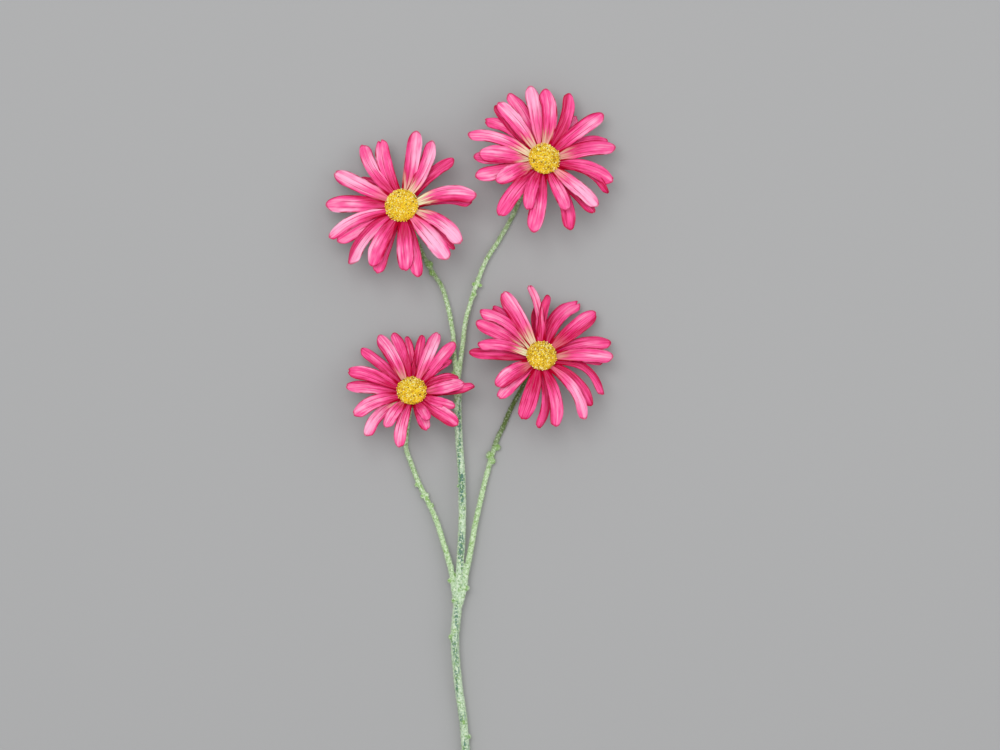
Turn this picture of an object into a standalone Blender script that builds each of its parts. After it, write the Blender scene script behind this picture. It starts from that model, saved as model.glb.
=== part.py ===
"""Artificial daisy spray lying on a flat surface.

One flocked stem forks into four branches, and each branch carries a daisy head made of a green
calyx, overlapping narrow petals round one hub, and a domed disc covered in small florets.
+Z is up, +Y runs from the cut end to the heads, and Z = 0 is the surface that it lies on.
Sizes below are in millimetres and degrees, and are turned into metres when meshes are made.
"""

import math
import random
from collections import namedtuple

import bmesh
import bpy
from mathutils import Matrix, Vector
from mathutils.geometry import delaunay_2d_cdt

MM = 0.001
COLLECTION_NAME = "artificial_daisy_spray"

# Gap between pieces that touch
SEAT_GAP = 0.3

# Stem radii, from the photo's widths
TRUNK_RADIUS = 2.0
FORK_RADIUS = 2.15
TRUNK_END_RADIUS = 1.1
MIDDLE_RADIUS = 1.8
LOWER_BRANCH_RADIUS = 1.55
BRANCH_RADIUS = 1.28
PEDUNCLE_RADIUS = 1.12
STEM_POINT_SPACING = 7.0
STEM_TURN_STEP = 11.0
PEDUNCLE_END = 2.4
STEM_BEVEL_RESOLUTION = 2

# Head sizes, along the head's own axis from the middle of the petal hub
HUB_INSET = 0.9
HUB_TOP = 0.95
HUB_BOTTOM = -1.15
HUB_SIDES = 20
DISC_HEIGHT = 4.4
DISC_WALL = 0.7
DOME_FULLNESS = 2.4
DISC_FLORETS = 80
DISC_RIM_POINTS = 24
GOLDEN_ANGLE = math.radians(137.508)
FLORET_REACH = 0.93
FLORET_DEPTH = 0.95
RIM_EASE = 1.5
CALYX_LENGTH = 5.6
CALYX_BASE_RADIUS = 1.7
CALYX_RADIUS = 5.6
BRACT_REACH = 2.0
BRACTS = 12
# The calyx from its stalk up: shares of its radius, of its depth and of the bracts' reach
CALYX_PROFILE = [(0.0, 1.0, 0.0), (0.25, 0.87, 0.0), (0.58, 0.57, 0.05), (0.87, 0.30, 0.3),
                 (1.0, 0.14, 1.0), (1.0, 0.0, 0.0)]

# Petal blades
PETAL_THICKNESS = 0.65
PETAL_ROOT_RADIUS = 4.6
PETAL_ROOT_WIDTH = 3.1
WIDEST_AT = 0.68
TIP_WIDTH_SHARE = 0.45
TIP_BULGE_SHARE = 0.10
TIP_ROW_CROWDING = 1.5
TROUGH_SHARE = 0.11
# Root height over the hub's middle, and height of the arch, for each level from the lowest up
ROOT_HEIGHTS = (-0.75, -0.35, 0.05, 0.45)
ARCHES = (0.2, 0.5, 1.2, 1.6)
ARCH_SPREAD = 0.3
ROLL_SPREAD = 0.10
TROUGH_EASE = 0.33
DROOP_EASE = 1.4
ARCH_EASE = 1.2
SWELL_EASE = 0.8
PETAL_ROWS = 6
PETAL_SEED = 11

# Route points of the stem's runs, from the cut end to the forks and on to the heads
FORK_POINT = (-5.5, -29.7, 5.0)
SECOND_FORK_POINT = (-5.7, 65.4, 4.8)
TRUNK_ROUTE = [
    (-0.6, -199.8, 1.75), (0.0, -172.8, 1.8), (-0.2, -143.5, 2.1), (-1.1, -118.8, 2.5),
    (-2.1, -98.5, 3.0), (-3.2, -84.8, 3.4), (-5.3, -69.7, 3.9), (-6.7, -55.7, 4.4),
    (-6.9, -46.7, 4.7), (-6.0, -36.4, 4.9), FORK_POINT,
]
BRANCH_ROUTES = {
    "middle": [
        (-6.1, -34.5, 4.95), FORK_POINT, (-4.5, -13.0, 5.3), (-3.8, -0.9, 5.5), (-3.6, 13.0, 5.6),
        (-4.0, 26.9, 5.6), (-5.1, 40.8, 5.4), (-5.6, 54.2, 5.1), SECOND_FORK_POINT,
    ],
    "top_left": [
        (-5.7, 61.4, 4.9), SECOND_FORK_POINT, (-7.0, 75.7, 4.5), (-7.6, 86.5, 4.0),
        (-8.7, 93.9, 3.5), (-10.7, 103.1, 2.8), (-13.0, 109.9, 2.2), (-16.0, 114.5, 1.8),
        (-18.8, 119.1, 1.4), (-21.2, 123.7, 1.1), (-23.8, 129.7, 1.15), (-26.0, 135.4, 2.4),
    ],
    "top_right": [
        (-5.7, 60.4, 4.95), SECOND_FORK_POINT, (-4.5, 75.7, 4.8), (-3.3, 84.7, 4.5),
        (-2.2, 93.8, 4.2), (0.3, 103.1, 3.8), (2.8, 110.7, 3.3), (7.1, 121.5, 2.6),
        (12.9, 130.6, 1.8), (18.6, 140.8, 1.15), (22.6, 149.4, 1.15), (25.4, 155.3, 2.3),
    ],
    "lower_left": [
        (-6.0, -35.6, 4.9), (-6.3, -32.2, 4.9), (-6.9, -28.2, 4.85), (-7.6, -23.6, 4.7),
        (-8.4, -18.6, 4.5), (-10.0, -12.4, 4.2),
        (-12.1, -5.5, 3.8), (-15.1, 3.9, 3.2), (-19.0, 12.9, 2.6), (-23.5, 22.0, 2.0),
        (-27.0, 31.2, 1.4), (-28.9, 36.6, 1.15), (-28.8, 42.9, 1.1), (-27.9, 49.7, 1.9),
        (-27.0, 54.6, 4.0),
    ],
    "middle_right": [
        (-5.6, -35.4, 4.9), (-4.5, -32.2, 4.9), (-3.4, -28.2, 4.85), (-2.6, -23.6, 4.75),
        (-1.9, -18.6, 4.6), (-0.6, -12.4, 4.4),
        (0.7, -5.5, 4.1), (2.3, 3.7, 3.6), (4.4, 12.9, 3.0), (6.5, 22.0, 2.4),
        (9.0, 31.3, 1.8), (11.7, 40.2, 1.3), (15.0, 47.2, 1.1), (17.9, 54.2, 1.15),
        (22.2, 62.3, 1.9), (25.4, 68.4, 4.0),
    ],
}

# Small knots on the runs: run, place along Y, shift to the right of the run's line, radius
NUB_TURN = 17
NUBS = [
    ("trunk", -92.5, 1.7, 1.2), ("trunk", -47.6, -1.6, 1.4), ("trunk", -31.2, -1.5, 1.4),
    ("lower_left", -22.3, -1.3, 1.2), ("middle_right", -25.6, 1.3, 1.4),
    ("top_left", 70.8, -1.1, 1.0), ("top_right", 110.7, -1.4, 1.0), ("top_right", 110.0, 1.7, 0.9),
    ("top_right", 106.0, 0.2, 1.35), ("top_left", 119.6, 0.3, 1.8), ("top_left", 115.8, -0.3, 1.4),
    ("lower_left", 20.6, -1.3, 1.2), ("lower_left", 15.4, -1.5, 1.1),
    ("lower_left", 15.9, 1.0, 1.3), ("lower_left", 11.2, 0.6, 1.3),
    ("middle_right", 37.4, 1.5, 1.5), ("middle_right", 33.6, -0.6, 1.9),
    ("middle_right", 31.2, 0.9, 1.5), ("middle", 20.2, -1.5, 0.9),
]


# A petal: its level, its angle and reach as seen from straight above, its width, the height of
# its tip over the hub's middle, and how far its line bows counter-clockwise
Petal = namedtuple("Petal", "level angle reach width end bend")

# Heads: centre is the middle of the hub, lean is how far the face tips from straight up and
# towards which way, aim is the point that the petals fan out from, beside the hub's middle
HEADS = {
    "top_left": {
        "centre": (-30.1, 144.9, 17.0), "lean": 17, "towards": 127, "aim": (0.0, 1.05),
        "disc": 7.6,
        "petals": [
            Petal(3, 6, 33, 6.9, 1.5, 5), Petal(0, 1, 31, 5, -2.2, 5),
            Petal(1, 41, 30.5, 5.3, -1.6, 3.5), Petal(3, 65, 31.5, 6.5, 1.5, -4.5),
            Petal(2, 80, 33.5, 7.1, 2.4, -2), Petal(2, 109, 31, 6.5, 1.5, 3),
            Petal(3, 124, 33, 5.5, 1.1, 4), Petal(0, 148, 22.5, 3.6, -2.2, -2.5),
            Petal(3, 155, 34, 6.5, 1.5, 0), Petal(2, 180, 34.5, 8.2, 1.5, -1),
            Petal(3, 204, 36, 4.9, 0.7, -4.5), Petal(1, 210, 33.5, 6.1, -1.2, -0.5),
            Petal(2, 229, 35.5, 7.2, 1.1, -6), Petal(3, 244, 31, 7.6, 2.2, -2),
            Petal(1, 250, 33, 6.4, -1.8, -2), Petal(3, 273, 30, 7.2, 1.5, 1),
            Petal(1, 282, 33.5, 5.8, -1.8, 1.5), Petal(3, 309, 32, 7.7, 1.5, 1.5),
            Petal(0, 319, 31, 3.8, -2.2, 2), Petal(2, 326, 31.5, 6.4, 2.2, 6),
        ],
    },
    "top_right": {
        "centre": (32.6, 165.5, 18.0), "lean": 18, "towards": 60, "aim": (-0.6, 1.2),
        "disc": 7.2,
        "petals": [
            Petal(3, 9, 33.5, 7.6, 1.5, 2), Petal(1, 15, 30.5, 5.9, -1.2, 4.5),
            Petal(3, 36, 34, 6.6, 1.5, 1), Petal(0, 50, 24.5, 4.9, -2.2, -0.5),
            Petal(2, 67, 32, 5.5, 1.5, -5.5), Petal(3, 88, 31, 6.6, 2.6, -5),
            Petal(2, 99, 33, 6.8, 1.5, -0.5), Petal(1, 117, 32.5, 6.5, -1, -3.5),
            Petal(3, 128, 31.5, 6.3, 1.5, -0.5), Petal(1, 132, 31.5, 4.2, -1.6, 2),
            Petal(0, 147, 30.5, 5.5, -1.8, -7), Petal(3, 163, 34.5, 5.7, 1.5, -4.5),
            Petal(2, 177, 28, 7.6, 2.4, -1), Petal(0, 180, 30.5, 5.5, -2.2, 0.5),
            Petal(1, 196, 31, 6.9, -1.8, 2), Petal(3, 207, 23, 7.2, 1.5, 0.5),
            Petal(2, 234, 32.5, 6.7, 1.5, -2), Petal(3, 255, 24.5, 5.8, 1.5, -2.5),
            Petal(1, 263, 34, 7.2, -1.8, 1), Petal(0, 291, 35, 6.3, -2.2, 5),
            Petal(2, 295, 26.5, 6, 2.2, 0.5), Petal(0, 313, 34, 4.4, -2.2, 0),
            Petal(3, 319, 33, 6.7, 1.5, -0.5), Petal(0, 331.5, 33.5, 3.4, -2.2, 8),
            Petal(2, 342, 33.5, 6.3, 0.7, 4.5),
        ],
    },
    "lower_left": {
        "centre": (-26.0, 62.2, 16.0), "lean": 22, "towards": 90, "aim": (-0.45, 1.05),
        "disc": 6.7,
        "petals": [
            Petal(1, 3, 28.5, 4, -1.2, -3), Petal(3, 9, 24, 5.7, 1.5, -3),
            Petal(0, 14, 22, 3.9, -0.8, 3), Petal(0, 36, 22.5, 3.7, 0.3, 2),
            Petal(2, 48, 29, 5.4, 3.2, -0.5), Petal(3, 66, 28.5, 5.5, 2, -1),
            Petal(0, 78, 25, 4, -1, 0.5), Petal(0, 95, 24, 3, -2, -2.5),
            Petal(2, 107, 27, 5, 1.5, -2), Petal(3, 121, 28.5, 5.9, 1.5, -1),
            Petal(1, 141, 29, 4.8, -1.8, -1), Petal(2, 163, 29.5, 6, 0.6, -2.5),
            Petal(1, 176, 29, 6.1, -0.6, 0), Petal(2, 204, 27.5, 6.2, 1.5, -4),
            Petal(0, 226, 28.5, 5.1, -2, -6), Petal(3, 236, 19.5, 5.4, 1.5, -1),
            Petal(1, 259, 26, 5.5, -1.8, -2), Petal(1, 292, 19.5, 5.4, -1.8, 0.5),
            Petal(3, 302, 15.5, 4.9, 6, 0), Petal(2, 325, 26, 6.4, 0.6, -1),
            Petal(3, 341, 21, 4.3, 1, -2.5),
        ],
    },
    "middle_right": {
        "centre": (31.5, 77.9, 16.5), "lean": 20, "towards": 63, "aim": (0.0, 0.9),
        "disc": 6.9,
        "petals": [
            Petal(3, 359, 32.5, 6, 1.5, 1), Petal(1, 10, 32, 6.1, -1.4, 4),
            Petal(3, 38, 31.5, 7, 1.5, 0), Petal(1, 54, 29.5, 7, -1.8, 8),
            Petal(2, 83, 27.5, 3.6, 3.2, 3), Petal(0, 97, 21.5, 3.2, -2.2, 2.5),
            Petal(3, 99, 32, 3.6, 1.5, -3.5), Petal(3, 121, 33, 7, 1.5, 0.5),
            Petal(0, 135, 30.5, 5.3, -2, -2), Petal(2, 144, 33.5, 5.1, 0.9, -6),
            Petal(1, 153, 32.5, 6.5, -1.4, -1), Petal(3, 171, 28.5, 4.8, 1.5, -3.5),
            Petal(0, 178, 32, 5.6, -2, 0), Petal(3, 214, 24, 7, 2.8, -1.5),
            Petal(1, 226, 27, 5.4, -1.8, -0.5), Petal(2, 254, 29.5, 7.2, 1.5, 1),
            Petal(0, 268, 32.5, 4.4, -2.2, 6), Petal(2, 282, 32.5, 5.6, 1.5, 4.5),
            Petal(3, 305, 34.5, 4.6, 1.5, 6.5), Petal(1, 315, 32, 5.6, -1.8, 5.5),
            Petal(1, 327.5, 33, 4.3, -3.6, 12), Petal(0, 354, 28, 4.3, -2, 2),
        ],
    },
}

PINK = (0.72, 0.045, 0.22, 1.0)
YELLOW = (0.80, 0.52, 0.04, 1.0)
CALYX_GREEN = (0.20, 0.33, 0.08, 1.0)
STEM_GREEN = (0.40, 0.58, 0.27, 1.0)


def clear_scene():
    """Remove every object, so the model starts from nothing."""
    for thing in list(bpy.data.objects):
        bpy.data.objects.remove(thing, do_unlink=True)


def make_material(name, color, roughness):
    """A plain Principled material in the piece's own colour."""
    material = bpy.data.materials.new(name)
    material.use_nodes = True
    shader = material.node_tree.nodes["Principled BSDF"]
    shader.inputs["Base Color"].default_value = color
    shader.inputs["Roughness"].default_value = roughness
    shader.inputs["Metallic"].default_value = 0.0
    material.diffuse_color = color
    return material


def new_collection(name, hidden=False):
    """A collection under the scene's own one."""
    collection = bpy.data.collections.new(name)
    bpy.context.scene.collection.children.link(collection)
    collection.hide_render = hidden
    return collection


def add_object(name, data, collection, parent=None):
    """Link a mesh or curve, in its parent's frame where it has one."""
    thing = bpy.data.objects.new(name, data)
    collection.objects.link(thing)
    thing.parent = parent
    return thing


def mesh_from_bmesh(bm, name):
    """Write a bmesh to a new mesh in metres, with its faces pointing out."""
    bmesh.ops.recalc_face_normals(bm, faces=bm.faces)
    bmesh.ops.scale(bm, vec=(MM, MM, MM), verts=bm.verts)
    mesh = bpy.data.meshes.new(name)
    bm.to_mesh(mesh)
    bm.free()
    return mesh


def evaluated_mesh(thing):
    """The mesh that an object has after its modifiers."""
    depsgraph = bpy.context.evaluated_depsgraph_get()
    depsgraph.update()
    return bpy.data.meshes.new_from_object(thing.evaluated_get(depsgraph))


def apply_modifiers(thing):
    """Replace an object's mesh by its evaluated one."""
    mesh = evaluated_mesh(thing)
    thing.modifiers.clear()
    thing.data = mesh


def union_with(thing, collection):
    """Fuse an object with everything in a collection, then remove the collection."""
    boolean = thing.modifiers.new("fuse", "BOOLEAN")
    boolean.operation = "UNION"
    boolean.solver = "EXACT"
    boolean.operand_type = "COLLECTION"
    boolean.collection = collection
    apply_modifiers(thing)
    for part in list(collection.objects):
        bpy.data.objects.remove(part, do_unlink=True)
    bpy.data.collections.remove(collection)


def smooth_points(route, spacing):
    """Points at about an even spacing on a smooth curve through the route's own points."""
    nodes = [Vector(point) for point in route]
    nodes = [2 * nodes[0] - nodes[1]] + nodes + [2 * nodes[-1] - nodes[-2]]
    points = [nodes[1]]
    for index in range(1, len(nodes) - 2):
        before, start, end, after = nodes[index - 1:index + 3]
        turn = math.degrees((end - before).angle(after - start))
        steps = max(1, round((end - start).length / spacing), round(turn / STEM_TURN_STEP))
        for step in range(1, steps + 1):
            t = step / steps
            points.append(0.5 * (
                2 * start + (end - before) * t
                + (2 * before - 5 * start + 4 * end - after) * t ** 2
                + (3 * start - before - 3 * end + after) * t ** 3))
    return points


def make_tube(name, points, radii, collection):
    """A closed mesh tube through the points, with its own radius at each of them."""
    curve = bpy.data.curves.new(name, "CURVE")
    curve.dimensions = "3D"
    curve.bevel_depth = MM
    curve.bevel_resolution = STEM_BEVEL_RESOLUTION
    curve.use_fill_caps = True
    spline = curve.splines.new("POLY")
    spline.points.add(len(points) - 1)
    for target, point, radius in zip(spline.points, points, radii):
        target.co = (*(point * MM), 1.0)
        target.radius = radius
    guide = add_object(name + "_guide", curve, collection)
    mesh = evaluated_mesh(guide)
    bpy.data.objects.remove(guide, do_unlink=True)
    bm = bmesh.new()
    bm.from_mesh(mesh)
    bmesh.ops.remove_doubles(bm, verts=bm.verts, dist=0.00001)
    bmesh.ops.recalc_face_normals(bm, faces=bm.faces)
    bm.to_mesh(mesh)
    bm.free()
    return add_object(name, mesh, collection)


def head_matrix(head):
    """The head's place and lean, in metres."""
    towards = math.radians(head["towards"])
    axis = Vector((-math.sin(towards), math.cos(towards), 0.0))
    turn = Matrix.Rotation(math.radians(head["lean"]), 4, axis)
    return Matrix.Translation(Vector(head["centre"]) * MM) @ turn


def branch_points(name):
    """Points along a branch. One that carries a head ends in a short straight run up its axis."""
    if name not in HEADS:
        return smooth_points(BRANCH_ROUTES[name], STEM_POINT_SPACING)
    head = HEADS[name]
    axis = head_matrix(head).to_3x3() @ Vector((0, 0, 1))
    tip_height = HUB_BOTTOM - SEAT_GAP - CALYX_LENGTH - SEAT_GAP
    tip = Vector(head["centre"]) + axis * tip_height
    route = BRANCH_ROUTES[name] + [tip - axis * PEDUNCLE_END]
    return smooth_points(route, STEM_POINT_SPACING) + [tip]


def nub_place(points, along, shift):
    """Where a knot sits: beside the run's line at its place along Y."""
    after = next(number for number, point in enumerate(points) if point.y > along)
    start, end = points[after - 1], points[after]
    middle = start.lerp(end, (along - start.y) / (end.y - start.y))
    return middle + Vector((shift, 0, 0))


def make_stem(collection, material):
    """The trunk, its forks, four branches and their knots, in one body with flat rest spots."""
    parts = new_collection("stem_parts")
    runs = {"trunk": smooth_points(TRUNK_ROUTE, STEM_POINT_SPACING)}
    radii = {"trunk": [TRUNK_RADIUS] * len(runs["trunk"])}
    radii["trunk"][-3:] = [FORK_RADIUS, FORK_RADIUS, TRUNK_END_RADIUS]
    for name in BRANCH_ROUTES:
        runs[name] = branch_points(name)
        thick = LOWER_BRANCH_RADIUS if runs[name][0].y < 0 else BRANCH_RADIUS
        thin = PEDUNCLE_RADIUS
        if name == "middle":
            thick = thin = MIDDLE_RADIUS
        last = len(runs[name]) - 1
        radii[name] = [thick + (thin - thick) * index / last for index in range(last + 1)]
    stem = make_tube("stem", runs["trunk"], radii["trunk"], collection)
    for name in BRANCH_ROUTES:
        make_tube("stem_" + name, runs[name], radii[name], parts)
    for number, (name, along, shift, radius) in enumerate(NUBS):
        bm = bmesh.new()
        bmesh.ops.create_uvsphere(bm, u_segments=7, v_segments=5, radius=radius)
        turn = Matrix.Rotation(math.radians(NUB_TURN * number), 3, "X")
        bmesh.ops.rotate(bm, verts=bm.verts, matrix=turn)
        bmesh.ops.translate(bm, verts=bm.verts, vec=nub_place(runs[name], along, shift))
        add_object("knot_%02d" % number, mesh_from_bmesh(bm, "knot"), parts)
    union_with(stem, parts)
    cut_flat_under(stem)
    stem.data.materials.clear()
    stem.data.materials.append(material)
    stem.data.shade_smooth()
    stem.data.set_sharp_from_angle(angle=math.radians(50))


def cut_flat_under(thing):
    """Cut away what lies below the surface, which leaves the flat spots that carry the spray."""
    bm = bmesh.new()
    size = 600.0
    bmesh.ops.create_cube(bm, size=size)
    bmesh.ops.translate(bm, verts=bm.verts, vec=(0, 0, -size / 2))
    cutters = new_collection("cutters", hidden=True)
    cutter = add_object("surface_cut", mesh_from_bmesh(bm, "surface_cut"), cutters)
    cutter.hide_render = True
    cutter.display_type = "WIRE"
    boolean = thing.modifiers.new("rest_spots", "BOOLEAN")
    boolean.operation = "DIFFERENCE"
    boolean.solver = "EXACT"
    boolean.object = cutter
    apply_modifiers(thing)
    bpy.data.objects.remove(cutter, do_unlink=True)
    bpy.data.collections.remove(cutters)


def half_width(along, width):
    """Half the petal's width at a share of its length: slim at the root, round at the tip."""
    if along < WIDEST_AT:
        grown = math.sin(math.pi / 2 * along / WIDEST_AT) ** SWELL_EASE
        return (PETAL_ROOT_WIDTH + (width - PETAL_ROOT_WIDTH) * grown) / 2
    past = (along - WIDEST_AT) / (1 - WIDEST_AT)
    rounding = math.sqrt(1 - (past * math.sqrt(1 - TIP_WIDTH_SHARE ** 2)) ** 2)
    return width / 2 * rounding


def petal_tip(petal, head):
    """The tip in the head's own frame, so that it is seen where the list says from above."""
    angle = math.radians(petal.angle)
    seen = Vector(head["aim"]) + petal.reach * Vector((math.cos(angle), math.sin(angle)))
    turn = head_matrix(head).to_3x3()
    across = Matrix(((turn[0][0], turn[0][1]), (turn[1][0], turn[1][1])))
    flat = across.inverted() @ (seen - petal.end * Vector((turn[0][2], turn[1][2])))
    return Vector((flat.x, flat.y, petal.end))


def make_petal(name, petal, head, collection, parent, draw):
    """One blade: a bowed strip with a trough along it, arched from its root to its tip."""
    tip = petal_tip(petal, head)
    outward = Vector((tip.x, tip.y, 0)).normalized()
    sideways = Vector((-outward.y, outward.x, 0))
    reach = tip.to_2d().length
    root = ROOT_HEIGHTS[petal.level]
    arch = ARCHES[petal.level] + draw.uniform(-ARCH_SPREAD, ARCH_SPREAD)
    roll = draw.uniform(-ROLL_SPREAD, ROLL_SPREAD)
    bm = bmesh.new()
    bmesh.ops.create_grid(bm, x_segments=PETAL_ROWS, y_segments=2, size=1.0)
    for vert in bm.verts:
        along = 1 - ((1 - vert.co.x) / 2) ** TIP_ROW_CROWDING
        across = vert.co.y
        half = half_width(along, petal.width)
        radius = PETAL_ROOT_RADIUS + (reach - PETAL_ROOT_RADIUS) * along
        if along == 1 and across == 0:
            radius += TIP_BULGE_SHARE * petal.width
        bow = 2 * petal.bend * along * (1 - along)
        slope = 2 * petal.bend * (1 - 2 * along) / (reach - PETAL_ROOT_RADIUS)
        width_axis = (sideways - outward * slope).normalized()
        past_disc = max(0.0, (radius - head["disc"]) / (reach - head["disc"]))
        opened = min(1.0, past_disc / TROUGH_EASE)
        height = root + (petal.end - root) * past_disc ** DROOP_EASE
        height += arch * max(0.0, math.sin(math.pi * past_disc)) ** ARCH_EASE
        height += TROUGH_SHARE * petal.width * abs(across) * opened
        height += roll * half * across * opened
        vert.co = outward * radius + sideways * bow + width_axis * half * across
        vert.co.z = height
    bmesh.ops.triangulate(bm, faces=bm.faces)
    blade = add_object(name, mesh_from_bmesh(bm, name), collection, parent)
    solidify = blade.modifiers.new("thickness", "SOLIDIFY")
    solidify.thickness = PETAL_THICKNESS * MM
    solidify.offset = 0.0
    solidify.use_even_offset = True
    return blade


def make_petals(place, head, collection, parent, material):
    """All the petals of a head, at four levels, fused to their hub."""
    bm = bmesh.new()
    radius = head["disc"] - HUB_INSET
    bmesh.ops.create_cone(bm, cap_ends=True, segments=HUB_SIDES, radius1=radius,
                          radius2=radius, depth=HUB_TOP - HUB_BOTTOM)
    bmesh.ops.translate(bm, verts=bm.verts, vec=(0, 0, (HUB_TOP + HUB_BOTTOM) / 2))
    hub = add_object("petals_" + place, mesh_from_bmesh(bm, "petals_" + place), collection, parent)
    blades = new_collection("blades_" + place)
    draw = random.Random(PETAL_SEED)
    for number, petal in enumerate(head["petals"]):
        make_petal("blade_%s_%02d" % (place, number), petal, head, blades, parent, draw)
    union_with(hub, blades)
    hub.data.materials.clear()
    hub.data.materials.append(material)
    hub.data.shade_smooth()
    hub.data.set_sharp_from_angle(angle=math.radians(40))


def make_disc(place, head, collection, parent, material):
    """A dome whose florets follow a sunflower spiral, each a small peak with valleys round it."""
    disc_radius = head["disc"]
    spread = disc_radius / math.sqrt(DISC_FLORETS)
    florets = [Vector((math.cos(n * GOLDEN_ANGLE), math.sin(n * GOLDEN_ANGLE)))
               * spread * math.sqrt(n + 0.5) for n in range(DISC_FLORETS)]
    rim = [Vector((math.cos(a), math.sin(a))) * disc_radius
           for a in (2 * math.pi * n / DISC_RIM_POINTS for n in range(DISC_RIM_POINTS))]
    inner = [floret for floret in florets if floret.length < disc_radius * FLORET_REACH]
    points, _, faces = delaunay_2d_cdt(inner + rim, [], [], 0, 0.0001)[:3]
    bm = bmesh.new()
    verts = [bm.verts.new((*point, dome_height(point.length / disc_radius))) for point in points]
    for face in faces:
        bm.faces.new([verts[index] for index in face])
    rim_edges = [edge for edge in bm.edges if edge.is_boundary]
    skirt = bmesh.ops.extrude_edge_only(bm, edges=rim_edges)
    low = [item for item in skirt["geom"] if isinstance(item, bmesh.types.BMVert)]
    top_faces = [face for face in bm.faces if len(face.verts) == 3]
    valleys = bmesh.ops.poke(bm, faces=top_faces)["verts"]
    for vert in valleys:
        vert.co.z -= FLORET_DEPTH * min(1.0, (disc_radius - vert.co.xy.length) / RIM_EASE)
    for vert in low:
        vert.co.z = HUB_TOP + SEAT_GAP
    bmesh.ops.contextual_create(bm, geom=low)
    bmesh.ops.triangulate(bm, faces=bm.faces)
    disc = add_object("disc_" + place, mesh_from_bmesh(bm, "disc_" + place), collection, parent)
    disc.data.materials.append(material)
    disc.data.shade_smooth()
    disc.data.set_sharp_from_angle(angle=math.radians(60))


def dome_height(share):
    """Height of the disc's surface over the hub's middle, at a share of its radius."""
    crown = (DISC_HEIGHT - DISC_WALL) * (1 - min(1.0, share) ** DOME_FULLNESS)
    return HUB_TOP + SEAT_GAP + DISC_WALL + crown


def make_calyx(place, collection, parent, material):
    """The green cup under the petals, with pointed bracts round its rim."""
    top = HUB_BOTTOM - SEAT_GAP
    sides = BRACTS * 2
    bm = bmesh.new()
    rings = []
    for radius_share, height_share, bract_share in CALYX_PROFILE:
        radius = CALYX_BASE_RADIUS + (CALYX_RADIUS - CALYX_BASE_RADIUS) * radius_share
        ring = []
        for side in range(sides):
            angle = 2 * math.pi * side / sides
            reach = radius + (BRACT_REACH * bract_share if side % 2 == 0 else 0.0)
            ring.append(bm.verts.new((reach * math.cos(angle), reach * math.sin(angle),
                                      top - CALYX_LENGTH * height_share)))
        rings.append(ring)
    for low, high in zip(rings, rings[1:]):
        for side in range(sides):
            after = (side + 1) % sides
            bm.faces.new((low[side], low[after], high[after], high[side]))
    bm.faces.new(rings[0])
    bm.faces.new(rings[-1])
    bmesh.ops.triangulate(bm, faces=bm.faces)
    calyx = add_object("calyx_" + place, mesh_from_bmesh(bm, "calyx_" + place), collection, parent)
    calyx.data.materials.append(material)
    calyx.data.shade_smooth()
    calyx.data.set_sharp_from_angle(angle=math.radians(35))


def main():
    """Build the stem, then each head in its own frame."""
    clear_scene()
    collection = new_collection(COLLECTION_NAME)
    make_stem(collection, make_material("stem_green", STEM_GREEN, 0.95))
    for place, head in HEADS.items():
        frame = add_object("head_" + place, None, collection)
        frame.matrix_world = head_matrix(head)
        bpy.context.view_layer.update()
        make_calyx(place, collection, frame, make_material("calyx_" + place, CALYX_GREEN, 0.85))
        make_petals(place, head, collection, frame, make_material("petals_" + place, PINK, 0.7))
        make_disc(place, head, collection, frame, make_material("disc_" + place, YELLOW, 0.9))


main()
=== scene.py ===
"""Artificial daisy spray: its fabric petals, floret discs, calyces and flocked stem.

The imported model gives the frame. Each operator below makes one group of detailed pieces that
stand for the model's solids, or the stage with its floor, lights and camera. Lengths are given
in millimetres and angles in degrees, as seen from straight above, unless a comment says
otherwise.
"""

import math
import random
from collections import namedtuple
from functools import reduce

import bmesh
import bpy
from mathutils import Matrix, Vector, noise
from mathutils.kdtree import KDTree


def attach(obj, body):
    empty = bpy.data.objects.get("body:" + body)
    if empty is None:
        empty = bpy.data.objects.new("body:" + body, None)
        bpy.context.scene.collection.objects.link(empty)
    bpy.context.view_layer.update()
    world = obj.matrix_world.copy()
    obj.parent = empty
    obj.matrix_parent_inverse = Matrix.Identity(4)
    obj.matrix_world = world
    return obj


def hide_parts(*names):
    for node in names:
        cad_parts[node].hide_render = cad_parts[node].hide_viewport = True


bl_info = {
    "name": "Artificial daisy spray",
    "version": (1, 0, 0),
    "blender": (4, 5, 0),
    "location": "3D View > Sidebar > Daisy Spray",
    "description": "Dresses a spray of artificial daisies in fabric, florets and flock",
    "category": "Object",
}

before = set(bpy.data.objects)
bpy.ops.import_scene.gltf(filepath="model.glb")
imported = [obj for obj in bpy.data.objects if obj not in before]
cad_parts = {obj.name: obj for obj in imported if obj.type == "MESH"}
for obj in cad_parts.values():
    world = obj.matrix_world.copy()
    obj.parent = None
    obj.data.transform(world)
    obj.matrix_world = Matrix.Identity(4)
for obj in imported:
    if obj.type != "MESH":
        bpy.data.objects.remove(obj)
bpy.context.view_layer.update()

MM = 0.001

# A head's sizes: the gap between two pieces, the hub's top and bottom from its middle, how much
# smaller its radius is than the disc's, the disc's height, wall and roundness, and the calyx's
# length and its radii at both ends
SEAT_GAP = 0.3
HUB_TOP = 0.95
HUB_BOTTOM = -1.15
HUB_INSET = 0.9
DISC_HEIGHT = 4.4
DISC_WALL = 0.7
DOME_FULLNESS = 2.4
CALYX_LENGTH = 5.6
CALYX_BASE_RADIUS = 1.7
CALYX_RADIUS = 5.6

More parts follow.
